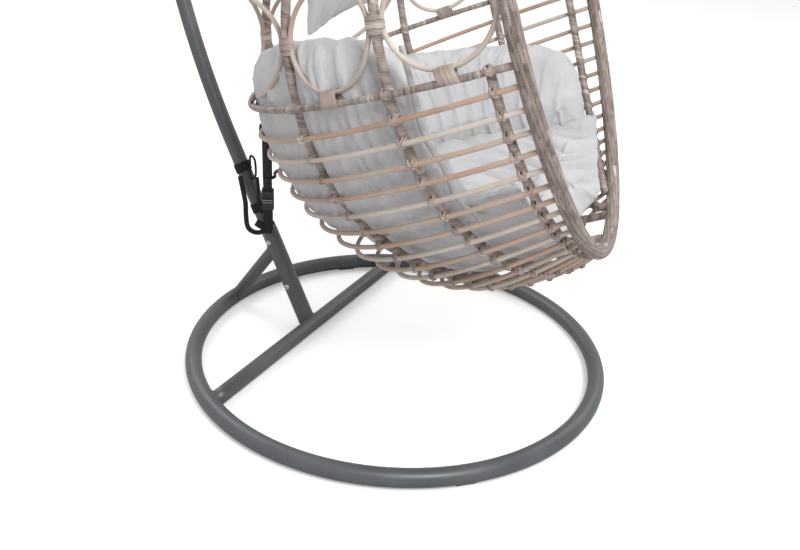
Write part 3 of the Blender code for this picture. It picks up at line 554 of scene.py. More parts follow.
def floor_paint():
    """White floor: brighter to the camera than to the light it bounces."""
    shader = Shader("floor_paint")
    seen, bounced = (0.93, 0.93, 0.93, 1), (0.66, 0.66, 0.67, 1)
    shader.set("Base Color", seen)       # stands only if the mix below is unlinked
    shader.set("Roughness", 0.95)
    shader.set("Specular IOR Level", 0.1)
    shader.set("Emission Color", (1, 1, 1, 1))
    camera_ray = shader.add("LightPath").outputs["Is Camera Ray"]
    shader.set("Base Color", shader.mix(camera_ray, bounced, seen))
    shader.set("Emission Strength", shader.math("MULTIPLY", camera_ray, 0.30))
    return shader.material


COAT, ZINC = powder_coat(), zinc()
RUBBER = black_moulding("rubber", roughness=0.7)
PLASTIC = black_moulding("black_plastic", roughness=0.35)
WEBBING = webbing()
CANE_ROD, CANE_LOOP = cane("cane_rods"), cane("cane_loops")
WICKER, TIE = wicker("wicker_wrap"), wicker("tie_strand", lightness=1.15)
CLOTH = cloth()

# ------------------------------------------------------------------ stand
SOCKET_FOOT = np.array([0, 0.268, RING_Z])
SOCKET_TOP = np.array([0, 0.400, 0.259 + FLOOR_GAP])
SOCKET_DIR = (SOCKET_TOP - SOCKET_FOOT) / np.linalg.norm(SOCKET_TOP - SOCKET_FOOT)
SOCKET_LENGTH = np.linalg.norm(SOCKET_TOP - SOCKET_FOOT)
LIP = 0.002                              # rounded end of the socket
BAR_HALF = sqrt((RING_R - 0.012) ** 2 - BAR_Y ** 2)
BRACE_FOOT = np.array([0, RING_R - 0.006, RING_Z + 0.004])
BRACE_TOP = np.array([0, 0.372, 0.205 + FLOOR_GAP])
BRACE_DIR = (BRACE_TOP - BRACE_FOOT) / np.linalg.norm(BRACE_TOP - BRACE_FOOT)
RING_POINTS = 260
BEAD_R = 0.0032
# The post: straight from inside the socket, a gentle bend, then the arch over the basket
POST_INSERT = 0.085
POST_STRAIGHT = POST_INSERT + 0.25
POST_BEND = 0.38
LEAN_LOW, LEAN_HIGH = 28.9, 19.5         # degrees from upright, before and after the bend
ARCH_R = 0.80
POST_SPLIT = 0.80                        # length of the lower post


def stand_piece(name, part, *nodes):
    piece(name, part, COAT, "stand", *nodes, slot="grey_powder_coat")


def straight_tube(start, end, radius, points, sides=28):
    path = np.linspace(start, end, points) + ORIGIN
    return sweep(path, np.linalg.norm(path - path[0], axis=1), radius, sides)


def post_path():
    spacing, fine = 0.012, 0.004         # between kept points, and between worked points
    point = SOCKET_TOP - SOCKET_DIR * POST_INSERT
    lean, travelled, mark = radians(LEAN_LOW), 0.0, spacing
    bend = radians(LEAN_LOW - LEAN_HIGH) / POST_BEND
    out = [point.copy()]
    while point[1] >= HOOK_Y - 0.030 or lean >= 0:
        if travelled < POST_STRAIGHT:
            curve = 0.0
        else:
            curve = bend if travelled < POST_STRAIGHT + POST_BEND else 1.0 / ARCH_R
        middle = lean - curve * fine / 2
        point = point + np.array([0, sin(middle), cos(middle)]) * fine
        lean -= curve * fine
        travelled += fine
        if travelled + 1e-9 >= mark:
            out.append(point.copy())
            mark += spacing
    return np.array(out)


def socket_radius(arc, turn):
    return SOCKET_R - 0.0012 * np.clip((arc - SOCKET_LENGTH + LIP) / LIP, 0, 1) ** 2


ring_angles = np.linspace(0, 2 * pi, RING_POINTS, endpoint=False)
ring_path = ORIGIN + [0, 0, RING_Z] + np.stack(
    [RING_R * np.cos(ring_angles), RING_R * np.sin(ring_angles), np.zeros(RING_POINTS)], 1)
ring_arc = np.arange(RING_POINTS) * (2 * pi * RING_R / RING_POINTS)
stand_piece("ring_tube", sweep(ring_path, ring_arc, RING_TUBE_R, 32, closed=True), "floor_ring")
stand_piece("bar_tube", straight_tube(np.array([-BAR_HALF, BAR_Y, RING_Z]),
                                      np.array([BAR_HALF, BAR_Y, RING_Z]), BAR_TUBE_R, 24),
            "cross_bar")
post = post_path()
split = int(np.searchsorted(arc_length(post)[1:], POST_SPLIT))
for name, points, node in (("post_tube_lower", post[: split + 1], "post_lower"),
                           ("post_tube_upper", post[split:], "post_upper")):
    path = points + ORIGIN
    stand_piece(name, sweep(path, arc_length(path), POST_R, 32), node)
stand_piece("socket_tube", straight_tube(SOCKET_FOOT, SOCKET_TOP, socket_radius, 26, sides=32),
            "post_socket")
stand_piece("brace_tube", straight_tube(BRACE_FOOT, BRACE_TOP, BRACE_R, 20), "rear_brace")


# Distances from a point to the skin of each tube, negative inside
def from_ring(point):
    outward = sqrt(point[0] ** 2 + point[1] ** 2) - RING_R
    return sqrt(outward ** 2 + (point[2] - RING_Z) ** 2) - RING_TUBE_R


def from_bar(point):
    return sqrt((point[1] - BAR_Y) ** 2 + (point[2] - RING_Z) ** 2) - BAR_TUBE_R


def from_socket(point):
    arm = point - SOCKET_FOOT
    return np.linalg.norm(arm - SOCKET_DIR * arm.dot(SOCKET_DIR)) - SOCKET_R


def junction(start, direction, radius, distance, reach):
    """Loop where a tube's wall, followed from start, meets another tube's skin."""
    side = unit(np.cross(direction, [1, 0, 0] if abs(direction[0]) < 0.9 else [0, 0, 1]))
    square = np.cross(direction, side)
    out = []
    for angle in np.linspace(0, 2 * pi, 72, endpoint=False):
        wall = start + radius * (cos(angle) * side + sin(angle) * square)
        low, high = 0.0, reach
        if distance(wall + direction * low) * distance(wall + direction * high) > 0:
            continue
        for _ in range(40):
            middle = (low + high) / 2
            if distance(wall + direction * low) * distance(wall + direction * middle) <= 0:
                high = middle
            else:
                low = middle
        out.append(wall + direction * (low + high) / 2)
    return np.array(out)


def weld_bead(*joint):
    """A slightly uneven bead along a junction."""
    path, arc = resample(junction(*joint) + ORIGIN, 0.003, closed=True)
    return sweep(path, arc, lambda arc, turn: BEAD_R * (1 + 0.16 * np.sin(arc * 2 * pi / 0.0061)),
                 8, closed=True)


beads = [weld_bead(SOCKET_FOOT, SOCKET_DIR, SOCKET_R, from_bar, 0.10),
         weld_bead(BRACE_FOOT, BRACE_DIR, BRACE_R, from_ring, 0.12),
         weld_bead(BRACE_TOP - BRACE_DIR * 0.075, BRACE_DIR, BRACE_R, from_socket, 0.075)]
for side in (-1, 1):
    beads.append(weld_bead(np.array([side * (BAR_HALF - 0.055), BAR_Y, RING_Z]),
                           np.array([side, 0.0, 0.0]), BAR_TUBE_R, from_ring, 0.078))
stand_piece("weld_beads", join(beads))

# ------------------------------------------------------------------ CAD pieces kept as they are
for material, names in (
        (COAT, ("hang_lug", "post_sleeve")),
        (ZINC, ("snap_hook", "snap_gate", "swivel_upper", "swivel_lower", "hang_eye",
                "coil_spring", "socket_bolt_1", "socket_bolt_2")),
        (RUBBER, ("floor_glide_1", "floor_glide_2", "floor_glide_3", "floor_glide_4", "end_plug")),
        (PLASTIC, ("buckle_socket", "buckle_tongue")),
        (webbing_plain(), ("strap_upper_web", "strap_lower_web", "strap_collar", "strap_loop"))):
    for name in names:
        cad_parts[name].data.materials.clear()
        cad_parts[name].data.materials.append(material)

# the coil stretches between the swivel and the basket's eye
spring = bpy.data.objects.new("spring_coil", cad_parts["coil_spring"].data.copy())
bpy.context.scene.collection.objects.link(spring)
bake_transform(spring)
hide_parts("coil_spring")


# ------------------------------------------------------------------ basket: rim line and rods
def open_rim():
    """The rim's line from one side of the crown round to the other."""
    angle = np.linspace(-90, 270, 721)[:-1]
    forward, width, height = rim_point(np.where(angle > 90, 180 - angle, angle))
    line = np.stack([np.where(angle > 90, -1, 1) * width, -forward, height], 1)
    from_crown = np.hypot(line[:, 0], line[:, 1] + CROWN_FORWARD)
    keep = ~((from_crown < CROWN_R + 0.001) & (line[:, 2] > 1.2))
    top = int(np.argmax(line[:, 2]))
    return np.roll(line, -top, 0)[np.roll(keep, -top)]


RIM = open_rim()


def rim_distance(point):
    start = RIM[:-1]
    span = RIM[1:] - start
    t = np.clip(((point - start) * span).sum(1) / (span * span).sum(1), 0, 1)
    return np.linalg.norm(point - start - span * t[:, None], axis=1).min()


def phi_end(level):
    """Where a level line stops short of the rim."""
    low, high = 55.0, PHI_RIM
    if rim_distance(surface(level, high)) > LEVEL_TRIM:
        return high
    for _ in range(30):
        middle = (low + high) / 2
        if rim_distance(surface(level, middle)) > LEVEL_TRIM:
            low = middle
        else:
            high = middle
    return low


def level_line(level):
    end = phi_end(level)
    return shell_to_world(surface(level, np.linspace(-end, end, 150)))


def rod_radius(seed):
    """Slow swelling, with a small knot every so often."""
    knots = np.cumsum(np.random.default_rng(seed).uniform(0.17, 0.34, 14))

    def radius(arc, turn):
        out = ROD_R * (1 + 0.02 * np.sin(arc * 31 + seed))
        for knot in knots:
            out = out + 0.00045 * np.exp(-((arc - knot) / 0.0035) ** 2)
        return out
    return radius


for k, rod_tone in enumerate(ROD_TONES):
    part = sweep(*resample(level_line(k), 0.009), rod_radius(k + 1), 12, tone=rod_tone)
    piece(f"cane_rod_{k + 1:02d}", part, CANE_ROD, "basket", f"rod_{k + 1:02d}", slot="cane_rod")


# ------------------------------------------------------------------ basket: wrapped members
def wrap_tube(points, radius, pitch, ridge_height, sides, seed, starts=1):
    """A tube wound with flat strand: a ridge and a tone for each turn."""
    path, arc = resample(points, pitch / 4)
    random = np.random.default_rng(seed)
    turn_count = int(arc[-1] / pitch) * starts + 60
    tones = np.clip(random.normal(0.5, 0.20, turn_count * 2), 0.0, 1.0)
    sway = random.normal(0, 1, 64)[0]

    def phase(arc, turn):
        return arc / pitch + starts * (turn / (2 * pi)) + 0.10 * np.sin(arc * 55 + sway)

    def wound_radius(arc, turn):
        ridge = np.sin(pi * (phase(arc, turn) % 1.0)) ** 0.55
        return (radius - ridge_height + ridge_height * ridge * 1.6
                + 0.0003 * np.sin(arc * 90 + turn * 2))

    def tone(arc, turn):
        return tones[(np.floor(phase(arc, turn)).astype(int)) % len(tones)]

    vertices, faces, attributes = sweep(path, arc, wound_radius, sides, tone=tone)
    place = phase(attributes["along"], attributes["turn"]) % 1.0
    # mask for the painted shade: 0 in the groove between turns, 1 on the strand
    attributes["groove_unshaded"] = np.clip(np.sin(pi * place) ** 0.5 * 1.5, 0.0, 1.0)
    return vertices, faces, attributes


def braid_tube(points, radius, seed):
    """A thick wrap of steep flat strands, in lengths of their own tone, over fine cross turns."""
    strands, pitch, ridge_height = 11, 0.110, 0.0014
    strand_length, cross_pitch = 0.034, 0.0052
    path, arc = resample(points, 0.0026)
    random = np.random.default_rng(seed)
    tones = np.clip(random.normal(0.46, 0.13, 4001) + (random.random(4001) > 0.95) * 0.35, 0.0, 1.0)

    def weave(arc, turn):
        """Strand number, length number, strand ridge and cross ridge."""
        phase = strands * turn / (2 * pi) + arc / pitch + 0.10 * np.sin(arc * 40 + 3 * turn)
        strand = np.floor(phase).astype(int)
        along = arc / strand_length + 0.37 * strand
        ridge = np.sin(pi * (phase % 1.0)) ** 0.6
        ridge = ridge * (0.72 + 0.28 * np.sin(pi * (along % 1.0)) ** 0.4)
        cross = np.sin(pi * ((arc / cross_pitch + turn / (2 * pi)) % 1.0)) ** 0.6
        return strand, np.floor(along).astype(int), ridge, cross

    def braided_radius(arc, turn):
        _, _, ridge, cross = weave(arc, turn)
        return radius - ridge_height * 0.9 + ridge_height * 1.3 * ridge + 0.00055 * cross

    def tone(arc, turn):
        strand, length, _, _ = weave(arc, turn)
        return tones[(strand * 131 + length * 17) % len(tones)]

    vertices, faces, attributes = sweep(path, arc, braided_radius, 40, tone=tone)
    _, _, ridge, cross = weave(attributes["along"], attributes["turn"])
    # mask for the painted shade in the grooves between strands and between the cross turns
    attributes["groove_unshaded"] = np.clip(ridge * 1.2 + 0.10, 0.0, 1.0) * np.clip(cross * 0.6 + 0.6, 0.0, 1.0)
    return vertices, faces, attributes


def rib_line(phi, upper):
    """A rib's line, from the crown or from just below the band, down to the rim."""
    if upper:
        levels = np.r_[np.linspace(-10.6, -1.0, 90)[:-1], np.linspace(-1.0, 17.0, 160)]
    else:
        levels = np.linspace(-0.80, 17.0, 150)
    easing = LOOP_DEPTH + (ROD_R - BAND_R) * (levels + 1)
    depth = np.where(levels < -1, LOOP_DEPTH, np.where(levels < 0, easing, RIB_DEPTH))
    kept = []
    for point, level in zip(inside(levels, np.full_like(levels, phi), depth), levels):
        if level < -5 and np.hypot(point[0], point[1] + CROWN_FORWARD) < CROWN_R - 0.004:
            continue
        if level > 5 and rim_distance(point) < RIM_R + RIB_R - 0.004:
            break
        kept.append(point)
    kept = np.array(kept)
    nearest = RIM[np.linalg.norm(RIM - kept[-1], axis=1).argmin()]
    tail = kept[-1] + (nearest - kept[-1]) * np.linspace(0.15, 0.75, 6)[:, None]
    return np.vstack([kept, tail])


piece("rim_wrap", braid_tube(shell_to_world(RIM), RIM_R + 0.0004, seed=3),
      WICKER, "basket", "opening_rim", slot="wicker_wrap")
piece("band_wrap", wrap_tube(level_line(-1), BAND_R, pitch=0.0050, ridge_height=0.0007,
                             sides=10, seed=5),
      WICKER, "basket", "band_hoop", slot="wicker_wrap")

ribs = [("rib_rear", 0.0, rib_line(0.0, upper=True))]     # name, phi, line
for j, phi in enumerate(RIB_PHI):
    for sign, side in ((-1, "left"), (1, "right")):
        ribs.append((f"rib_{j + 1}_{side}", sign * phi, rib_line(sign * phi, upper=j < 2)))
for i, (name, _, line) in enumerate(ribs):
    part = wrap_tube(shell_to_world(line), RIB_R + 0.0002, pitch=0.0056, ridge_height=0.0011,
                     sides=14, seed=20 + i, starts=4)
    piece(name + "_wrap", part, WICKER, "basket", name, slot="wicker_wrap")

# ------------------------------------------------------------------ basket: loops above the band
# Bays between neighbouring ribs, or a rib and the rim (phi, phi)
BAYS = [(-RIB_PHI[0], 0.0), (0.0, RIB_PHI[0]), (-RIB_PHI[1], -RIB_PHI[0]),
        (RIB_PHI[0], RIB_PHI[1]), (-PHI_RIM, -RIB_PHI[1]), (RIB_PHI[1], PHI_RIM)]
# Rows going up: middle level, half height in levels, half length of the side wraps
ROWS = ((-2.32, 1.14, 0.019), (-4.62, 0.98, 0.019), (-6.55, 0.80, 0.014))


def loop_points(middle_level, half_levels, phi_low, phi_high):
    """An oval loop that clears the members on both sides of its bay."""
    def clear_of(edge, sign):
        at_rim = abs(abs(edge) - PHI_RIM) < 0.01
        limit = (RIM_R if at_rim else RIB_R) + LOOP_R + GAP + 0.0003
        line = inside(middle_level + np.linspace(-0.4, 0.4, 9), edge, LOOP_DEPTH)
        phi = edge
        for _ in range(500):
            point = inside(middle_level, phi, LOOP_DEPTH)
            if at_rim:
                distance = rim_distance(point)
            else:
                distance = np.linalg.norm(line - point, axis=1).min()
            if distance >= limit:
                break
            phi += sign * 0.1
        return phi
    low, high = clear_of(phi_low, 1), clear_of(phi_high, -1)
    t = np.linspace(0, 2 * pi, 72, endpoint=False)
    return inside(middle_level - half_levels * np.sin(t),
                  (low + high) / 2 + (high - low) / 2 * np.cos(t), LOOP_DEPTH)


def side_wrap(middle_level, phi, half_length, seed):
    """Strand wound round a rib and the loop rods beside it: an oval, ridged sleeve."""
    level_height, pitch, sides = 0.09, 0.0040, 22
    half_wide, half_flat = RIB_R + 2 * LOOP_R + 0.0012, RIB_R + 0.0016
    half_levels = half_length / level_height
    levels = np.linspace(middle_level - half_levels, middle_level + half_levels, 21)
    path = shell_to_world(inside(levels, np.full_like(levels, phi), LOOP_DEPTH))
    path, arc = resample(path, 0.0011)
    tangent = unit_rows(np.gradient(path, axis=0))
    out = unit(shell_to_world(inside(middle_level, phi, 0.0))
               - shell_to_world(inside(middle_level, phi, 0.02)))
    out = unit_rows(out - tangent * (tangent @ out)[:, None])
    across = np.cross(tangent, out)
    tones = np.clip(np.random.default_rng(seed).normal(0.62, 0.2, 80), 0, 1)
    angles = np.linspace(0, 2 * pi, sides, endpoint=False)
    arcs, turns = np.meshgrid(arc, angles, indexing="ij")
    phase = arcs / pitch + turns / (2 * pi)
    ridge = np.sin(pi * (phase % 1.0)) ** 0.55
    relief = 0.0008 * ridge
    taper = 1 - 0.16 * np.abs(arcs / arc[-1] * 2 - 1) ** 2
    rings = (path[:, None] + ((half_flat + relief) * np.sin(turns))[..., None] * out[:, None]
             + (((half_wide + relief) * taper) * np.cos(turns))[..., None] * across[:, None])
    # mask for the painted shade: 0 in the groove between turns of the strand, 1 on the strand
    return rings.reshape(-1, 3), tube_faces(len(path), sides), {
        "along": arcs.reshape(-1), "turn": turns.reshape(-1),
        "tone": tones[np.floor(phase).astype(int) % len(tones)].reshape(-1),
        "groove_unshaded": np.clip(ridge * 1.5, 0, 1).reshape(-1)}


loops = [[loop_points(middle, half, *bay) for bay in BAYS] for middle, half, _ in ROWS]
loop_random = np.random.default_rng(7)
for i, (middle, _, half_length) in enumerate(ROWS):
    parts = []
    for j, loop in enumerate(loops[i]):
        path, arc = resample(smooth_path(shell_to_world(loop), 2, True), 0.008, closed=True)
        parts.append(sweep(
            path, arc, lambda arc, turn: LOOP_R * (1 + 0.03 * np.sin(arc * 29 + j)),
            12, closed=True, tone=float(loop_random.uniform(0.05, 0.55))))
    piece(f"bent_loops_{i + 1}", join(parts), CANE_LOOP, "basket", f"loop_row_{i + 1}",
          slot="cane_loop")
    wraps = [side_wrap(middle, phi, half_length, seed=60 + 10 * i + j)
             for j, phi in enumerate((0.0, RIB_PHI[0], -RIB_PHI[0], RIB_PHI[1], -RIB_PHI[1]))]
    piece(f"loop_side_wraps_{i + 1}", join(wraps), TIE, "basket", slot="cane_loop")

# ------------------------------------------------------------------ basket: ties
tie_seeds = count(1001)


def tie(centre, reach, half_reach, half_width, turns, axis, pitch, strand_r):
    """Strand wound round an oval, advancing along axis; reach is one direction of the oval."""
    width = unit(np.cross(axis, reach))
    t = np.linspace(0, 2 * pi * turns, int(turns * 14) + 1)
    path = (centre + np.cos(t)[:, None] * reach * half_reach
            + np.sin(t)[:, None] * width * half_width
            + ((t / (2 * pi) - turns / 2) * pitch)[:, None] * axis)
    arc = arc_length(path)
    darkest = 0.40 if turns < 4 else 0.60
    tones = np.random.default_rng(next(tie_seeds)).uniform(darkest, 0.95, int(turns) + 3)
    per_turn = arc[-1] / turns

    def tone(arc, turn):
        # painted shade: the side of each strand's round where cos(turn) < -0.3 is made 0.25 darker
        return tones[np.floor(arc / per_turn).astype(int)] - 0.25 * (np.cos(turn) < -0.3)

    vertices, faces, attributes = sweep(path, arc, strand_r, 6, tone=tone)
    return shell_to_world(vertices), faces, attributes


def crossing_ties():
    """A crossed pair of ties wherever a rib meets the band or a rod."""
    ties = []
    for _, phi, line in ribs:
        for k in range(-1, RODS):
            on_rib = inside(float(k), phi, RIB_DEPTH)
            if np.linalg.norm(line - on_rib, axis=1).min() > 0.012:
                continue
            out = normal(float(k), phi)
            along_rod = unit(surface(float(k), phi + 1) - surface(float(k), phi - 1))
            along_rib = unit(surface(k + 0.1, phi) - surface(k - 0.1, phi))
            centre = inside(float(k), phi, RIB_DEPTH / 2)
            crossed_r = BAND_R if k < 0 else ROD_R
            for sign in (-1, 1):
                diagonal = unit(along_rod * 0.80 + sign * along_rib * 0.62)
                ties.append(tie(centre, out, (RIB_R + crossed_r) + 0.0012, RIB_R + 0.0014,
                                turns=2.6, axis=diagonal, pitch=0.0027, strand_r=0.0013))
    return ties


def band_ties():
    """The lowest row's loops bound to the band."""
    ties = []
    for (phi_low, phi_high), loop in zip(BAYS, loops[0]):
        lowest = loop[int(np.argmin(loop[:, 2]))]
        phi = (phi_low + phi_high) / 2
        on_band = surface(-1.0, phi)
        along = unit(surface(-1.0, phi + 1) - surface(-1.0, phi - 1))
        half_reach = np.linalg.norm(lowest - on_band) / 2 + LOOP_R + 0.0010
        ties.append(tie((lowest + on_band) / 2, unit(lowest - on_band), half_reach,
                        BAND_R + 0.0024, turns=13, axis=along, pitch=0.0031, strand_r=0.0017))
    return ties


def row_ties():
    """Each row's loops bound to the loops above."""
    ties = []
    for row in (0, 1):
        for (phi_low, phi_high), lower, upper in zip(BAYS, loops[row], loops[row + 1]):
            distance = np.linalg.norm(lower[:, None] - upper[None], axis=2)
            i, j = np.unravel_index(distance.argmin(), distance.shape)
            along = unit(lower[(i + 1) % len(lower)] - lower[i - 1])
            between = upper[j] - lower[i]
            if np.linalg.norm(between) > 1e-4:
                reach = unit(between)
            else:                        # the loops touch, so their gap gives no direction
                reach = normal(ROWS[row][0] - ROWS[row + 1][0], (phi_low + phi_high) / 2)
            ties.append(tie((lower[i] + upper[j]) / 2, reach,
                            distance.min() / 2 + LOOP_R + 0.0016, LOOP_R + 0.0016,
                            turns=9, axis=along, pitch=0.0031, strand_r=0.0016))
    return ties


def rim_ties():
    """The outermost loops of each row bound to the rim."""
    ties = []
    for row in loops:
        for loop, outermost in ((row[4], len(row[4]) // 2), (row[5], 0)):
            point = loop[outermost]
            k = np.linalg.norm(RIM - point, axis=1).argmin()
            along = unit(RIM[min(k + 1, len(RIM) - 1)] - RIM[k - 1])
            reach = unit(point - RIM[k])
            distance = np.linalg.norm(point - RIM[k])
            ties.append(tie(RIM[k] + reach * (distance + LOOP_R - RIM_R) / 2, reach,
                            (distance + LOOP_R + RIM_R) / 2 + 0.0018, RIM_R + 0.0020,
                            turns=8, axis=along, pitch=0.0034, strand_r=0.0017))
    return ties


piece("crossing_ties", join(crossing_ties()), TIE, "basket", slot="wicker_wrap")
piece("loop_ties", join(band_ties() + row_ties() + rim_ties()), TIE, "basket", slot="cane_loop")


def crown():
    """Disc wound with strand, turned from a ridged profile of (radius, height)."""
    sides, top_pitch, edge_pitch = 64, 0.006, 0.0055
    profile = [(0.004, 0.020)]
    profile += [(r, 0.0200 + 0.0010 * abs(sin(pi * r / top_pitch)))
                for r in np.arange(0.008, 0.060, 0.0015)]
    profile += [(0.0640, 0.0185)]
    profile += [(CROWN_R + 0.0006 * abs(sin(pi * z / edge_pitch)), z)
                for z in np.arange(0.0165, -0.0170, -0.0014)]
    profile += [(0.0640, -0.0188), (0.004, -0.0190)]
    centre = np.array([0, -CROWN_FORWARD, CROWN_Z])
    vertices, tones = [], []
    for i, (radius, z) in enumerate(profile):
        for j in range(sides):
            angle = 2 * pi * j / sides
            vertices.append(centre + [radius * cos(angle), radius * sin(angle), z])
            tones.append(0.35 + 0.4 * ((i // 4) % 2) + 0.1 * sin(5 * angle + i))
    faces = tube_faces(len(profile), sides)
    faces[:-2] = [face[::-1] for face in faces[:-2]]      # the walls face outwards, as the caps do
    total = len(vertices)
    return shell_to_world(np.array(vertices)), faces, {
        "along": np.zeros(total), "turn": np.zeros(total),
        "tone": np.array(tones), "groove_unshaded": np.ones(total)}


piece("crown_wrap", crown(), WICKER, "basket", "crown", slot="wicker_wrap")


# ------------------------------------------------------------------ cushions
def two_skins(first, second, turned=False):
    """Two grids of points sharing their border: vertices, faces and the seam's vertex numbers."""
    rows, columns = first.shape[:2]
    first_ids = np.arange(rows * columns).reshape(rows, columns)
    second_ids = first_ids.copy()
    second_ids[1:-1, 1:-1] = rows * columns + np.arange(
        (rows - 2) * (columns - 2)).reshape(rows - 2, columns - 2)
    forward = ((0, 0), (1, 0), (1, 1), (0, 1))
    backward = ((0, 0), (0, 1), (1, 1), (1, 0))
    windings = (backward, forward) if turned else (forward, backward)
    faces = [[ids[i + di, j + dj] for di, dj in winding]
             for i in range(rows - 1) for j in range(columns - 1)
             for ids, winding in zip((first_ids, second_ids), windings)]
    vertices = np.vstack([first.reshape(-1, 3), second[1:-1, 1:-1].reshape(-1, 3)])
    return vertices, faces, first_ids[first_ids == second_ids].tolist()


def lobe(phi_range, top, bottom, thick, depth, seam_at, grid):
    """A closed cushion on the shell's inside; top and bottom are (phi, level) stations."""
    across, up = np.meshgrid(*(np.linspace(0, 1, points) for points in grid), indexing="ij")
    phi = phi_range[0] + (phi_range[1] - phi_range[0]) * across
    top_level, bottom_level = (np.interp(phi, *zip(*stations)) for stations in (top, bottom))
    level = bottom_level + (top_level - bottom_level) * up
    power = 3.4                          # squareness of the puffed shape
    puff = ((1 - np.abs(2 * across - 1) ** power)
            * (1 - np.abs(2 * up - 1) ** power)) ** (1 / power)
    seam_depth = depth + thick * seam_at
    shell_side = inside(level, phi, seam_depth - (seam_depth - depth) * puff)
    open_side = inside(level, phi, seam_depth + (thick - (seam_depth - depth)) * puff)
    return two_skins(shell_side, open_side)


def inflate(made, seam, limit):
    """Cloth simulation under pressure with the seam held; no point moves more than limit."""
    last_frame = 20
    start = np.array([v.co[:] for v in made.data.vertices])
    made.vertex_groups.new(name="seam").add(seam, 1.0, "REPLACE")
    modifier = made.modifiers.new("cloth", "CLOTH")
    settings = modifier.settings
    settings.quality = 6
    settings.mass = 0.25
    settings.tension_stiffness = settings.compression_stiffness = 12.0
    settings.shear_stiffness = 5
    settings.bending_stiffness = 0.4
    settings.air_damping = 2.0
    settings.use_pressure = True
    settings.uniform_pressure_force = 4.0
    settings.shrink_min = -0.04          # negative: the cloth grows
    settings.vertex_group_mass = "seam"
    settings.effector_weights.gravity = 0.0
    modifier.collision_settings.use_collision = False
    modifier.collision_settings.use_self_collision = False
    modifier.point_cache.frame_start = 1
    modifier.point_cache.frame_end = last_frame
    scene = bpy.context.scene
    for number in range(1, last_frame + 1):
        scene.frame_set(number)
    depsgraph = bpy.context.evaluated_depsgraph_get()
    result = bpy.data.meshes.new_from_object(made.evaluated_get(depsgraph))
    move = np.array([v.co[:] for v in result.vertices]) - start
    bpy.data.meshes.remove(result)
    made.modifiers.clear()
    length = np.linalg.norm(move, axis=1)
    move *= (np.minimum(length, limit) / np.maximum(length, 1e-9))[:, None]
    made.data.vertices.foreach_set("co", (start + move).reshape(-1))
    made.data.update()
    scene.frame_set(1)


def subdivide(made):
    modifier = made.modifiers.new("sub", "SUBSURF")
    modifier.levels = modifier.render_levels = 1
    depsgraph = bpy.context.evaluated_depsgraph_get()
    mesh = bpy.data.meshes.new_from_object(made.evaluated_get(depsgraph))
    made.modifiers.clear()
    old = made.data
    made.data = mesh
    bpy.data.meshes.remove(old)
    made.vertex_groups.clear()
    for polygon in made.data.polygons:
        polygon.use_smooth = True


def add_folds(made, across, depth, seed, seam_points=None):
    """Soft ridges up the piece or across it, fading towards the seam points if given."""
    mesh = made.data
    points = np.array([v.co[:] for v in mesh.vertices])
    normals = np.array([v.normal[:] for v in mesh.vertices])
    x, y, z = ((points - ORIGIN - SHELL_PLACE) @ SHELL_TURN).T
    angle = np.arctan2(x, y + 0.33)
    random = np.random.default_rng(seed)
    height = np.zeros(len(points))
    for _ in range(7):
        shift, rate = random.uniform(0, 2 * pi), random.uniform(0.8, 1.35)
        if across:
            phase = (z * 105 * rate + 1.8 * np.sin(x * random.uniform(4, 8) + shift)
                     - y * random.uniform(30, 60))
        else:
            phase = (angle * 40 * rate + 1.3 * np.sin(z * random.uniform(8, 14) + shift)
                     + z * random.uniform(-16, 16))
        # each set of ridges shows only in patches
        patch = np.sin(x * random.uniform(5, 9) + z * random.uniform(6, 12) + y * 8 + shift)
        patch = np.clip(patch * 1.6 - 0.35, 0, 1)
        height = np.maximum(height, patch * (1 - np.abs(np.sin(phase / 2))) ** 2.2)
    height = height - 0.35
    if seam_points is not None:
        near = np.zeros(len(points))
        chunk = 4000                     # keeps the distance table small
        for k in range(0, len(points), chunk):
            gaps = points[k:k + chunk, None, :] - seam_points[None]
            near[k:k + chunk] = np.sqrt((gaps ** 2).sum(-1)).min(1)
        height = height * (0.22 + 0.78 * np.clip(near / 0.035, 0, 1))
    mesh.vertices.foreach_set("co", (points + normals * (height * depth)[:, None]).reshape(-1))
    mesh.update()


def soft_piece(name, skins, limit, fold_across, fold_depth, fold_seed, fade):
    vertices, faces, seam = skins
    made = mesh_object(name, shell_to_world(vertices), faces, CLOTH)
    edit = bmesh.new()
    edit.from_mesh(made.data)
    bmesh.ops.recalc_face_normals(edit, faces=edit.faces)
    edit.to_mesh(made.data)
    edit.free()
    inflate(made, seam, limit)
    seam_points = np.array([made.data.vertices[i].co[:] for i in seam]) if fade else None
    subdivide(made)
    add_folds(made, fold_across, fold_depth, fold_seed, seam_points)
    return made


GRID_SCALE = 1.0


def grid_size(*full):
    return [int(points * GRID_SCALE) for points in full]


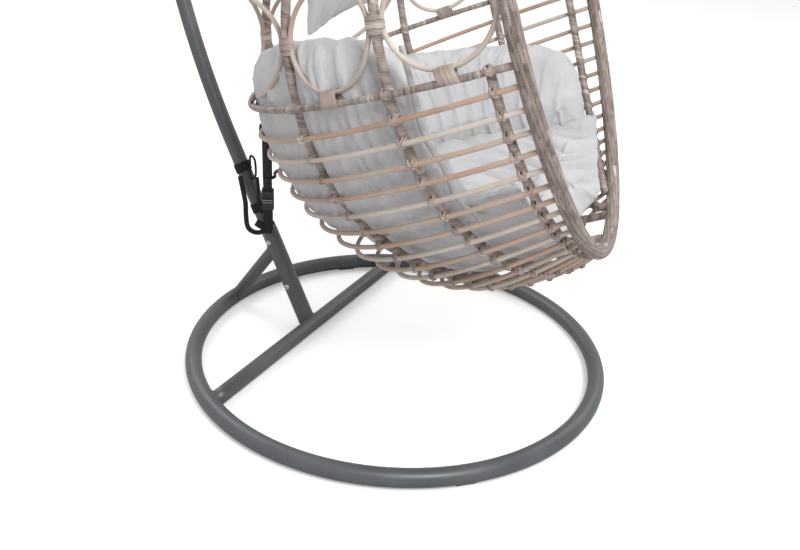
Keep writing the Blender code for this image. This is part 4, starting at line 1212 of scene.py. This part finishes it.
# name, CAD node, lobe shape, folds (across, depth, seed)
CUSHIONS = (
    ("cushion_back", "bolster", dict(
        phi_range=(-76, 36),
        top=((-76, -0.9), (-72, -1.6), (-66, -2.1), (-55, -2.4), (-40, -2.45), (-20, -2.25),
             (0, -2.0), (20, -1.6), (36, -1.1)),
        bottom=((-76, 7.2), (-40, 6.4), (0, 5.8), (36, 5.8)),
        thick=0.120, depth=0.026, seam_at=0.22, grid=grid_size(120, 70)), (False, 0.0085, 12)),
    ("cushion_far", "bolster", dict(
        phi_range=(34, 91.5),
        top=((34, -0.9), (45, -0.3), (60, 0.55), (75, 1.6), (85, 2.7), (89, 3.6), (91.5, 5.0)),
        bottom=((34, 5.9), (40, 6.1), (60, 7.4), (75, 8.5), (91.5, 9.6)),
        thick=0.120, depth=0.028, seam_at=0.22, grid=grid_size(70, 64)), (False, 0.0080, 11)),
    ("cushion_seat", "seat_cushion", dict(
        phi_range=(-89, 95),
        top=((-89, 5.6), (-60, 5.3), (0, 4.6), (40, 4.8), (60, 6.0), (75, 7.1), (95, 8.3)),
        bottom=((-89, 15.4), (-84, 16.7), (0, 16.9), (84, 17.0), (95, 16.3)),
        thick=0.145, depth=0.028, seam_at=0.10, grid=grid_size(136, 70)), (True, 0.0115, 12)),
)
cushions = [(soft_piece(name, lobe(**shape), 0.014, *folds, fade=True), node)
            for name, node, shape, folds in CUSHIONS]
for made, node in cushions:
    attach(made, "basket", (node,))


def pillow_skins():
    """A rectangular head pillow with drawn-in edges, leaning back with the shell."""
    half_width, half_height, half_thick = 0.208, 0.158, 0.058
    lean, place_y, place_z = radians(18), -0.140, 1.036
    across, up = np.meshgrid(*(np.linspace(-1, 1, points) for points in grid_size(46, 34)),
                             indexing="ij")
    draw_height = 1 - 0.10 * (1 - np.abs(across) ** 2) * np.abs(up) ** 6
    draw_width = 1 - 0.10 * (1 - np.abs(up) ** 2) * np.abs(across) ** 6
    x, z = half_width * across * draw_width, half_height * up * draw_height - 0.012
    puff = ((1 - np.abs(across) ** 2.4) * (1 - np.abs(up) ** 2.4)) ** 0.45

    def skin(y):
        return np.stack([x, y * cos(lean) - z * sin(lean) + place_y,
                         y * sin(lean) + z * cos(lean) + place_z], -1)
    return two_skins(skin(half_thick * puff), skin(-half_thick * puff), turned=True)


pillow = soft_piece("head_pillow", pillow_skins(), 0.012, fold_across=False, fold_depth=0.0050,
                    fold_seed=5, fade=False)
attach(pillow, "basket", ("back_pillow",))

# a tape down the -X side of the cushions
TAPE_PHI = -77.0
levels = np.linspace(-1.75, 6.6, 60)
tape = shell_to_world(inside(levels, TAPE_PHI + 0.4 * np.sin(levels * 1.7),
                             0.030 + 0.002 * np.sin(levels * 2.3)))
tape_out = (shell_to_world(inside(1.0, TAPE_PHI, 0.0))
            - shell_to_world(inside(1.0, TAPE_PHI, 0.02)))
piece("cushion_tape", ribbon(tape, 0.0062, 0.0009, wide=np.cross(tape[-1] - tape[0], tape_out)),
      CLOTH, "basket", slot="cushion_cloth")


def cushion_tie():
    """A tuft of seven short curled tapes on the +X side."""
    random = np.random.default_rng(11)
    centre = shell_to_world(inside(8.6, 92.0, 0.045))
    t = np.linspace(0, 1, 10)[:, None]
    tapes = []
    for _ in range(7):
        direction = unit(random.normal(0, 1, 3) + np.array([0.2, -0.9, 0.5]))
        curl = unit(np.cross(direction, random.normal(0, 1, 3)))
        length = random.uniform(0.018, 0.030)
        tapes.append(ribbon(centre + direction * t * length + curl * np.sin(t * 3.0) * 0.008,
                            0.0032, 0.0006, wide=np.cross(direction, curl), step=0.003))
    return join(tapes)


piece("cushion_tie", cushion_tie(), CLOTH, "basket", slot="cushion_cloth")

# ------------------------------------------------------------------ strap between basket and post
SIDEWAYS = np.array([0.4650, -0.8850, 0.0])
STRAP_VIEW = np.array([-0.854, -0.431, 0.2915])     # the way the strap's flat side faces
# Centre lines from ORIGIN (x, y, z)
LEFT_STRIP = [(-0.0375, 0.4637, 0.3997), (-0.0424, 0.4501, 0.3652), (-0.0473, 0.4381, 0.3332),
              (-0.054, 0.4312, 0.3033), (-0.0588, 0.4225, 0.2762), (-0.0564, 0.4097, 0.2644),
              (-0.0489, 0.3929, 0.2616), (-0.0401, 0.3802, 0.2688)]
LOCK_TAIL = [(-0.0177, 0.4239, 0.3997), (-0.0238, 0.4142, 0.3676), (-0.0317, 0.408, 0.3352),
             (-0.0335, 0.3952, 0.3108)]
POST_WRAP = [(-0.0461, 0.4048, 0.2874), (-0.0388, 0.3844, 0.2786), (-0.0243, 0.3666, 0.2949)]
LOCK_RING = [(0.009, 0.4565, 0.4401), (0.0127, 0.4445, 0.4333), (0.0047, 0.4349, 0.3957),
             (-0.0021, 0.4428, 0.3875)]

held_rod = shell_to_world(surface(0.0, -11.0))
strap_top = held_rod + np.array([0.002, -0.006, -0.009])
strap_end = ORIGIN + np.array([-SOCKET_R - 0.011, 0.374, 0.268])
strap_length = np.linalg.norm(strap_end - strap_top)
strap_dir = (strap_end - strap_top) / strap_length
strap_wide = unit(SIDEWAYS - strap_dir * SIDEWAYS.dot(strap_dir))
strap_face = unit(np.cross(strap_dir, strap_wide))
if strap_face.dot(STRAP_VIEW) < 0:
    strap_face = -strap_face
tongue_at = strap_length * 0.60 - 0.012  # distance of the buckle tongue down the strap


def along_strap(start, end, lift):
    return strap_top + strap_dir * np.linspace(start, end, 20)[:, None] + strap_face * lift


# the upper web and its turn round the rod
t = np.linspace(0, 2 * pi, 40)
rod_turn = (held_rod + strap_face * ((ROD_R + 0.0022) * np.cos(t))[:, None]
            - strap_dir * ((ROD_R + 0.0030) * np.sin(t))[:, None])
upper_web = [ribbon(along_strap(0.0, tongue_at - 0.040, 0.0), 0.0118, 0.0009, wide=strap_wide),
             ribbon(rod_turn, 0.0112, 0.0008, wide=strap_wide, step=0.0015)]
piece("strap_web_upper", join(upper_web), WEBBING, "basket", "strap_upper_web",
      slot="black_webbing")
tongue_web = along_strap(tongue_at - 0.046, tongue_at + 0.002, 0.0024)
piece("strap_web_tongue", ribbon(tongue_web, 0.0112, 0.0008, wide=strap_wide),
      WEBBING, "buckle_tongue_body", slot="black_webbing")

stripes = []
for beyond_tongue in (0.031, 0.0395):
    middle = strap_top + strap_dir * (tongue_at + beyond_tongue)
    ends = np.array([middle - strap_wide * 0.0125, middle + strap_wide * 0.0125])
    stripes.append(ribbon(ends + strap_face * 0.0088, 0.0007, 0.0006, wide=strap_dir, step=0.005))
piece("buckle_stripes", join(stripes), pale_stripe(), "stand", slot="black_plastic")

# a narrow branch to the third rod; it starts clear of the tongue when that slides out
branch_rod = shell_to_world(surface(2.0, -16.0))
branch_start = strap_top + strap_dir * (tongue_at - 0.042) + strap_wide * 0.006
branch = np.array([branch_start, branch_start + strap_wide * 0.012 - strap_dir * 0.008,
                   (branch_start + branch_rod) / 2 + np.array([0, 0, 0.004]),
                   branch_rod + np.array([0, 0, 0.002])])
piece("strap_branch", ribbon(smooth_path(branch, 8), 0.0040, 0.0008, facing=STRAP_VIEW),
      WEBBING, "basket", slot="black_webbing")

lock_path, _ = resample(smooth_path(np.array(LOCK_RING) + ORIGIN, 6, True), 0.0025, closed=True)
lock_shift = np.array([-0.0035, 0.0066, 0.0])
piece("strap_lock", sweep(lock_path + lock_shift, arc_length(lock_path), 0.0031, 10, closed=True),
      PLASTIC, "stand", slot="black_plastic")

# centre line, half width, half thickness
tails = [ribbon(smooth_path(np.array(line), 8) + ORIGIN, half_width, half_thick,
                facing=STRAP_VIEW)
         for line, half_width, half_thick in ((LEFT_STRIP, 0.0062, 0.0009),
                                              (LOCK_TAIL, 0.0045, 0.0008),
                                              (POST_WRAP, 0.0095, 0.0010))]
piece("strap_tails", join(tails), WEBBING, "stand", slot="black_webbing")

# ------------------------------------------------------------------ floor, light, camera
FLOOR_HALF = 40
floor_mesh = bpy.data.meshes.new("floor")
floor_mesh.from_pydata([(x * FLOOR_HALF, y * FLOOR_HALF, 0)
                        for x, y in ((-1, -1), (1, -1), (1, 1), (-1, 1))], [], [(0, 1, 2, 3)])
floor = bpy.data.objects.new("floor", floor_mesh)
bpy.context.scene.collection.objects.link(floor)
floor_mesh.materials.append(floor_paint())

world = bpy.data.worlds.new("studio")
bpy.context.scene.world = world
world.use_nodes = True
background = world.node_tree.nodes["Background"]
background.inputs["Color"].default_value = (1, 1, 1, 1)
background.inputs["Strength"].default_value = 0.62

LIGHT_TARGET = Vector(ORIGIN) + Vector((0, 0, 0.7))


def area_light(name, offset, size, power):
    """A square light at an offset from the target, aimed at it."""
    data = bpy.data.lights.new(name, "AREA")
    data.shape = "SQUARE"
    data.size = size
    data.energy = power
    light = bpy.data.objects.new(name, data)
    bpy.context.scene.collection.objects.link(light)
    light.location = LIGHT_TARGET + Vector(offset)
    aim = LIGHT_TARGET - (LIGHT_TARGET + Vector(offset))
    light.rotation_euler = aim.to_track_quat("-Z", "Y").to_euler()


area_light("key", offset=(-2.2, -2.6, 3.2), size=1.6, power=140)
area_light("fill", offset=(3.0, -1.5, 2.4), size=2.5, power=34)
area_light("back", offset=(0.5, 3.2, 2.6), size=2.0, power=45)

CAMERA_PLACE = Vector((-2.04391167, -1.00130199, 1.37731237 + FLOOR_GAP)) + Vector(ORIGIN)
CAMERA_RIGHT = Vector((0.46462587, -0.88371941, 0.05623882))
CAMERA_UP = Vector((0.23341529, 0.18349, 0.9549077))
CAMERA_FORWARD = Vector((0.85418973, 0.43054782, -0.29152783))
camera_data = bpy.data.cameras.new("view")
camera = bpy.data.objects.new("view", camera_data)
bpy.context.scene.collection.objects.link(camera)
camera_turn = Matrix((CAMERA_RIGHT, CAMERA_UP, -CAMERA_FORWARD)).transposed()
camera.matrix_world = Matrix.Translation(CAMERA_PLACE) @ camera_turn.to_4x4()
camera_data.sensor_fit = "HORIZONTAL"
camera_data.sensor_width = 36.0
camera_data.lens = 45.35523
camera_data.shift_y = -0.21875
camera_data.clip_start = 0.05
bpy.context.scene.camera = camera
bpy.context.scene.view_settings.view_transform = "Standard"
bpy.context.scene.view_settings.look = "None"
